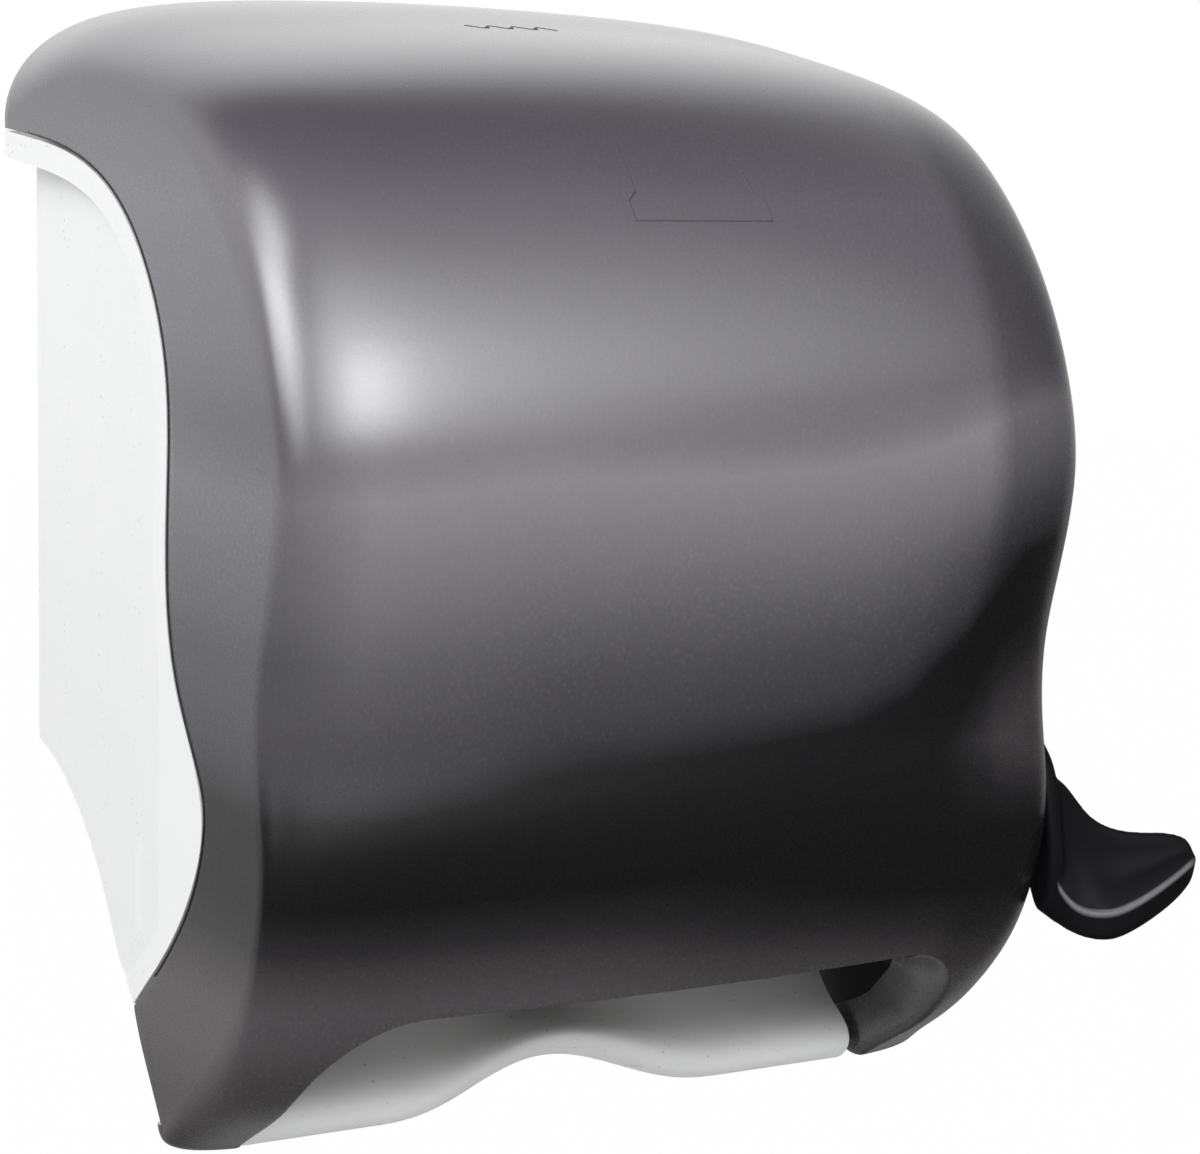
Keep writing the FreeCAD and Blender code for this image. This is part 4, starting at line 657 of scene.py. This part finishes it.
def window_line():
    """Faint raised outline on the upper front: a thin ribbon along a polyline over the dome's
    front, each side of it a little longer than its corners."""
    half = WINDOW_LINE_HALF_WIDTH
    patches = []
    for (x0, z0), (x1, z1) in zip(WINDOW_LINE[:-1], WINDOW_LINE[1:]):
        length = math.dist((x0, z0), (x1, z1))
        along = np.linspace(-half, length + half, 25)[:, None]
        over = np.array([[-half, half]])
        dx, dz = (x1 - x0) / length, (z1 - z0) / length
        x = x0 + dx * along - dz * over
        z = z0 + dz * along + dx * over
        at = station_where(x, FRONT_STATIONS, lambda dome: dome[..., 2] > z)
        patches.append((dome_at(at, x, -WINDOW_LINE_RAISE), grid_faces(*x.shape)))
    piece = mesh_piece("window_line", *join_patches(patches), LINE, "cover", "cover_smoke")
    weld(piece, 0.001)
    modifier(piece, "SOLIDIFY", thickness=0.2 * MM, offset=-1)
    return piece


def exit_shade_sheet(name, sign):
    """Near-black sheet that closes the gap between the cover's side wall and the frame, as
    painted shade for that gap: a sheet over reach and height whose x steps out from the frame's
    face to behind the wall, with its lower edge on a curve that clears the turning hinge foot."""
    across = np.linspace(SHADE_SHEET_EDGE[0, 0], SHADE_SHEET_EDGE[-1, 0], 49)
    down = np.linspace(0, 1, 15)
    low = np.interp(across, *SHADE_SHEET_EDGE.T)
    height = SHADE_SHEET_TOP + (low[None, :] - SHADE_SHEET_TOP) * down[:, None]
    step = np.clip((SHADE_SHEET_STEP_TOP - height) / SHADE_SHEET_STEP_RUN, 0, 1)
    out = SHADE_SHEET_X + SHADE_SHEET_STEP * step * step * (3 - 2 * step)
    points = np.stack([sign * out, -across + 0 * out, height], -1)
    piece = mesh_piece(name, points.reshape(-1, 3), grid_faces(*out.shape), SHADE_BLACK, "dispenser",
                       "lever_black")
    modifier(piece, "SOLIDIFY", thickness=1.3 * MM, offset=float(-sign), use_even_offset=False)
    return piece


def seam_line(side):
    """Dark shadow line on the cover along its seam: a ribbon on the flank, x = the half width
    there plus a hair, from the seam curve to SEAM_LINE_WIDTH inside the cover, narrowed by a
    sine towards both ends."""
    along = np.linspace(SEAM_LINE_ENDS[0], len(SEAM) - SEAM_LINE_ENDS[1], SEAM_LINE_STEPS)
    edge = cubic_through(SEAM, along)
    inward = left_of(np.gradient(edge, axis=0))
    taper = np.sin(np.linspace(0.15, math.pi - 0.6, SEAM_LINE_STEPS))[:, None, None]
    width = SEAM_LINE_WIDTH * taper
    off = SEAM_GAP + SEAM_LINE_OFF + np.array([[[0], [1]]]) * width
    rows = edge[:, None] + inward[:, None] * off
    reach, height = rows[..., 0], rows[..., 1]
    points = np.stack([side * (half_width(reach) + SEAM_LINE_RAISE), -reach, height], -1)
    piece = mesh_piece("seam_line_left" if side < 0 else "seam_line_right",
                       points.reshape(-1, 3), grid_faces(SEAM_LINE_STEPS, 2), SHADE_BLACK, "cover",
                       "cover_smoke")
    modifier(piece, "SOLIDIFY", thickness=SEAM_LINE_RAISE * MM, offset=-side)
    return piece


# ------------------------------------------------------------------ lever
def closed_curve(points, count):
    """Points along the closed smooth curve through rows of points: the natural spline through
    three turns of them, of which the middle turn is kept."""
    turns = np.concatenate([points, points, points, points[:1]])
    where = len(points) + np.arange(count) * len(points) / count
    return cubic_through(turns, where)


def rounded_polygon(corners, count):
    """Uniform quadratic B-spline on closed rows of corners, over the last two axes: it touches
    each side at its middle, so corners that stand close together make a tight bend."""
    total = corners.shape[-2]
    where = np.arange(count) * total / count
    span = where.astype(int)
    f = (where - span)[:, None]
    before, here, after = (corners[..., (span + k) % total, :] for k in (-1, 0, 1))
    return (0.5 * (1 - f) ** 2 * before + (0.5 + f * (1 - f)) * here + 0.5 * f ** 2 * after)


def stand_rings(x, rings):
    """Rings of (reach, height) points, each set at its own x."""
    return np.concatenate([np.broadcast_to(x[:, None, None], rings.shape[:2] + (1,)),
                           -rings[..., :1], rings[..., 1:]], -1)


def palm_rings():
    """Rings of the palm over x: rounded polygons through the back top edge, the dished face,
    a tight front ridge, the lower lip and the flat back; the last rings close to a tip."""
    last = len(PALM) - 2
    rows = cubic_through(PALM, np.concatenate([np.linspace(0, last, 8 * last + 1),
                                               last + np.linspace(0, 1, 12)[1:]]))
    x, top, edge, low = rows[:, 0], rows[:, 1:3], rows[:, 3:5], rows[:, 5:7]
    thick, dish = rows[:, 7:8], rows[:, 8:9]
    down, out, under = unit(edge - top), left_of(edge - top), unit(low - edge)
    middle = (top + edge) / 2
    near = np.minimum(2.4, 0.25 * np.linalg.norm(edge - top, axis=1, keepdims=True))
    corners = np.stack([
        top, middle - out * dish * 1.4, edge - down * near * 1.6, edge + out * 0.5,
        edge + under * near, low + under * 0.8, low - out * thick * 0.9 + under * 0.4,
        middle - out * (thick + dish * 0.6), top - out * thick * 0.9 - down * 0.6,
        top - out * thick * 0.3 - down * 1.4], 1)
    ring = rounded_polygon(corners, 72)
    centre = ring.mean(1, keepdims=True)
    beyond = np.clip((x - TIP_START) / TIP_LENGTH, 0, 1)
    closing = np.sqrt(np.clip(1 - beyond ** 2, 0, 1))[:, None, None]
    return stand_rings(x, centre + (ring - centre) * np.maximum(closing, 0.02))


def arm_rings():
    """Rings of the arm across its thickness: its side outline, drawn in by a quarter round at
    each face."""
    outline = closed_curve(ARM, 160)
    outward = left_of(np.roll(outline, -1, 0) - np.roll(outline, 1, 0))
    turn = np.linspace(0, math.pi / 2, 6)
    inset = np.concatenate([ARM_ROUND * (1 - np.sin(turn)), ARM_ROUND * (1 - np.sin(turn[::-1]))])
    x = np.concatenate([ARM_START + ARM_ROUND * (1 - np.cos(turn)),
                        ARM_START + ARM_THICK - ARM_ROUND * (1 - np.cos(turn[::-1]))])
    return stand_rings(x, outline[None] - outward[None] * inset[:, None, None])


def lever():
    """Press lever: arm and palm as closed rings, melted into one skin by a fine remesh and
    evened out, which leaves a soft fillet where they meet."""
    parts = [(ring, grid_faces(*ring.shape[:2], closed=True))
             for ring in (arm_rings(), palm_rings())]
    piece = mesh_piece("lever_skin", *join_patches(parts), PALM_BLACK, "lever", "lever_black")
    rework(piece, lambda work: bmesh.ops.holes_fill(
        work, edges=[e for e in work.edges if e.is_boundary]))
    modifier(piece, "REMESH", mode="VOXEL", voxel_size=0.7 * MM, use_smooth_shade=True)
    modifier(piece, "SMOOTH", factor=0.5, iterations=7)
    return piece


# ------------------------------------------------------------------ chin
def chin_patch():
    """Skin of the chin's underside that closes the two places where the hinge bore breaks out
    beside the finger wave: the section CHIN_NOSE set in a little, lifted along x by the wave
    h = WAVE_HEIGHT/2*(1+cos(pi*x/WAVE_HALF_WIDTH)), the more the lower a point lies."""
    section = cubic_through(CHIN_NOSE, np.linspace(0.5, len(CHIN_NOSE) - 1.5, PATCH_ROWS))
    outward = left_of(np.gradient(section, axis=0))
    reach, height = (section - PATCH_INSET * outward).T[..., None]
    x = np.linspace(-PATCH_HALF_WIDTH, PATCH_HALF_WIDTH, PATCH_COLUMNS)[None]
    share = np.clip((WAVE_TOP - height) / WAVE_RUN, 0, 1)
    rise = share * WAVE_HEIGHT * 0.5 * (1 + np.cos(math.pi * np.abs(x) / WAVE_HALF_WIDTH))
    points = np.stack([x + 0 * reach, -(reach - WAVE_PULL * rise), height + rise], -1)
    piece = mesh_piece("chin_patch", points.reshape(-1, 3),
                       grid_faces(PATCH_ROWS, PATCH_COLUMNS), WHITE, "dispenser",
                       "housing_white")
    modifier(piece, "SOLIDIFY", thickness=0.8 * MM, offset=1)
    return piece


# ------------------------------------------------------------------ the new pieces
skin = cover()
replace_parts(skin, "cover_shell")
key_slot()
window_line()
# Near-black sheets of painted shade in the gaps beside the exit.
exit_shade_sheet("exit_shade_sheet_left", -1)
exit_shade_sheet("exit_shade_sheet_right", 1)
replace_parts(lever(), "lever")
for side in (-1, 1):
    seam_line(side)
chin_patch()

# ------------------------------------------------------------------ camera, light, floor
YAW, PITCH, ROLL = 30.3, 7.5, 1.0        # degrees: turned right, looking down, rolled
CAMERA_PLACE = (-0.480, -0.957, 0.111)
LENS = 99.0                              # millimetres on a 36 mm sensor
FLOOR_HEIGHT, FLOOR_SIZE = -1.6, 30
# How far the camera sees the floor as white, how far mirrored rays do behind the wall plane,
# its glow in mirrored rays, and the share of that taken away behind the wall plane.
FLOOR_SEEN, FLOOR_BEHIND, FLOOR_GLOW, FLOOR_CLEAR = 0.98, 0.25, 0.04, 0.42
AIM = np.array([0, -0.1, 0])             # where the lamps point
# Lamps: azimuth, elevation, distance from AIM, side and power.
LAMPS = {"left_lamp": (-72, 30, 1.8, 0.8, 6), "front_lamp": (-6, 26, 1.8, 0.5, 4)}

# Soft light of the room, each a radiance with its fade over azimuth (from straight out of the
# wall towards +X) and over elevation, in degrees: lit backdrop, wide front box, two left boxes.
DIM_ROOM = 0.03
ROOM_LIGHTS = [
    (2.1, [(-180, 0.8), (-165, 0.52), (-118, 0.52), (-88, 0), (116, 0), (136, 0.75), (148, 1),
           (180, 0.8)],
     [(-60, 0.05), (-25, 0.08), (-14, 0.2), (-6, 0.92), (38, 1), (48, 0.6), (58, 0.12), (64, 0)]),
    (5.4, [(-40, 0), (-27, 0.7), (-16, 1), (-4, 0.95), (24, 0.42), (54, 0.16), (62, 0)],
     [(13, 0), (22, 0.9), (30, 1), (46, 0.52), (60, 0.16), (74, 0.03), (82, 0)]),
    (6.0, [(-98, 0), (-80, 1), (-62, 1), (-50, 0)], [(18, 0), (34, 0.8), (56, 1), (70, 0)]),
    (4.5, [(-66, 0), (-55, 1), (-45, 1), (-37, 0)], [(8, 0), (20, 0.9), (34, 1), (46, 0)])]


def camera():
    """Camera by its right, up and forward directions."""
    yaw, pitch, roll = (math.radians(a) for a in (YAW, PITCH, ROLL))
    level = np.array([math.sin(yaw), math.cos(yaw), 0])
    right = np.array([math.cos(yaw), -math.sin(yaw), 0])
    up = np.array([0, 0, 1.0])
    ahead = level * math.cos(pitch) - up * math.sin(pitch)
    up = up * math.cos(pitch) + level * math.sin(pitch)
    right, up = (right * math.cos(roll) + up * math.sin(roll),
                 up * math.cos(roll) - right * math.sin(roll))
    data = bpy.data.cameras.new("camera")
    data.lens, data.sensor_width = LENS, 36.0
    made = bpy.data.objects.new("camera", data)
    bpy.context.collection.objects.link(made)
    turn = np.eye(4)
    turn[:3, 0], turn[:3, 1], turn[:3, 2], turn[:3, 3] = right, up, -ahead, CAMERA_PLACE
    made.matrix_world = Matrix(turn.tolist())
    bpy.context.scene.camera = made


def softbox(name, azimuth, elevation, distance, side, power):
    """Square area lamp aimed at AIM from an azimuth, an elevation and a distance."""
    data = bpy.data.lights.new(name, "AREA")
    data.shape, data.size, data.size_y, data.energy = "RECTANGLE", side, side, power
    made = bpy.data.objects.new(name, data)
    bpy.context.collection.objects.link(made)
    a, e = math.radians(azimuth), math.radians(elevation)
    place = AIM + distance * np.array(
        [math.sin(a) * math.cos(e), -math.cos(a) * math.cos(e), math.sin(e)])
    made.location = place.tolist()
    made.rotation_mode = "QUATERNION"
    made.rotation_quaternion = Vector((AIM - place).tolist()).to_track_quat("-Z", "Y")


def background_rays(m, behind):
    """1 for rays that show the white background: the camera's, and mirrored or passed ones
    where they look at what is behind the object."""
    camera_ray, mirrored, passed = (m.ray(kind) for kind in (
        "Is Camera Ray", "Is Glossy Ray", "Is Transmission Ray"))
    return camera_ray + 0.5 * (1 - camera_ray) * behind * mirrored.either(passed)


def surroundings():
    """Plain pale floor and a world, both seen by the camera as white.  As light the world is
    DIM_ROOM with ROOM_LIGHTS on it; in mirrored rays the floor is nearly black in front of
    the wall plane and paler behind it."""
    bpy.ops.mesh.primitive_plane_add(size=FLOOR_SIZE, location=(0, 0, FLOOR_HEIGHT))
    floor = bpy.context.object
    floor.name = "floor"
    m = Maker("pale_floor")
    glow = m.white_light("ShaderNodeEmission", 1.0)
    m.set(Base_Color=rgb(0.66, 0.66, 0.66), Roughness=0.9)
    behind = m.level(m.split(m.place, 1), 0.2, 1.0)
    seen = FLOOR_SEEN * background_rays(m, FLOOR_BEHIND * behind)
    both = m.node("ShaderNodeMixShader", {}, {0: seen, 1: Value(m, m.shader.outputs[0]), 2: glow})
    flag = m.white_light("ShaderNodeEmission", FLOOR_GLOW)
    mirrored = m.ray("Is Glossy Ray") * (1 - FLOOR_CLEAR * behind)
    both = m.node("ShaderNodeMixShader", {}, {0: mirrored, 1: both, 2: flag})
    m.tree.links.new(both.link, m.tree.nodes["Material Output"].inputs["Surface"])
    floor.data.materials.append(m.material)

    world = bpy.data.worlds.new("studio")
    bpy.context.scene.world = world
    world.use_nodes = True
    w = Maker.bare(world.node_tree)
    way = Value(w, w.tree.nodes.new("ShaderNodeTexCoord").outputs["Generated"])
    aside, ahead, upward = (w.split(way, axis) for axis in range(3))
    azimuth = w.node("ShaderNodeMath", {"operation": "ARCTAN2"}, {0: aside, 1: 0 - ahead})
    elevation = w.node("ShaderNodeMath", {"operation": "ARCSINE"}, {0: upward})
    azimuth = w.level(azimuth, -math.pi, math.pi)
    elevation = w.level(elevation, -math.pi / 2, math.pi / 2)
    light = DIM_ROOM
    for power, around_stops, up_stops in ROOM_LIGHTS:
        light = light + power * (
            w.ramp(azimuth, *[((a + 180) / 360, v) for a, v in around_stops])
            * w.ramp(elevation, *[((e + 90) / 180, v) for e, v in up_stops]))
    behind = w.level(ahead, 0.0, 0.4) * w.level(upward, 0.84, 0.70)
    white = w.white_light("ShaderNodeBackground", 1.0)
    room = w.white_light("ShaderNodeBackground", light)
    both = w.node("ShaderNodeMixShader", {}, {0: background_rays(w, behind), 1: room, 2: white})
    out = w.tree.nodes.new("ShaderNodeOutputWorld")
    w.tree.links.new(both.link, out.inputs["Surface"])


camera()
surroundings()
for lamp, settings in LAMPS.items():
    softbox(lamp, *settings)
bpy.context.scene.view_settings.view_transform = "Standard"
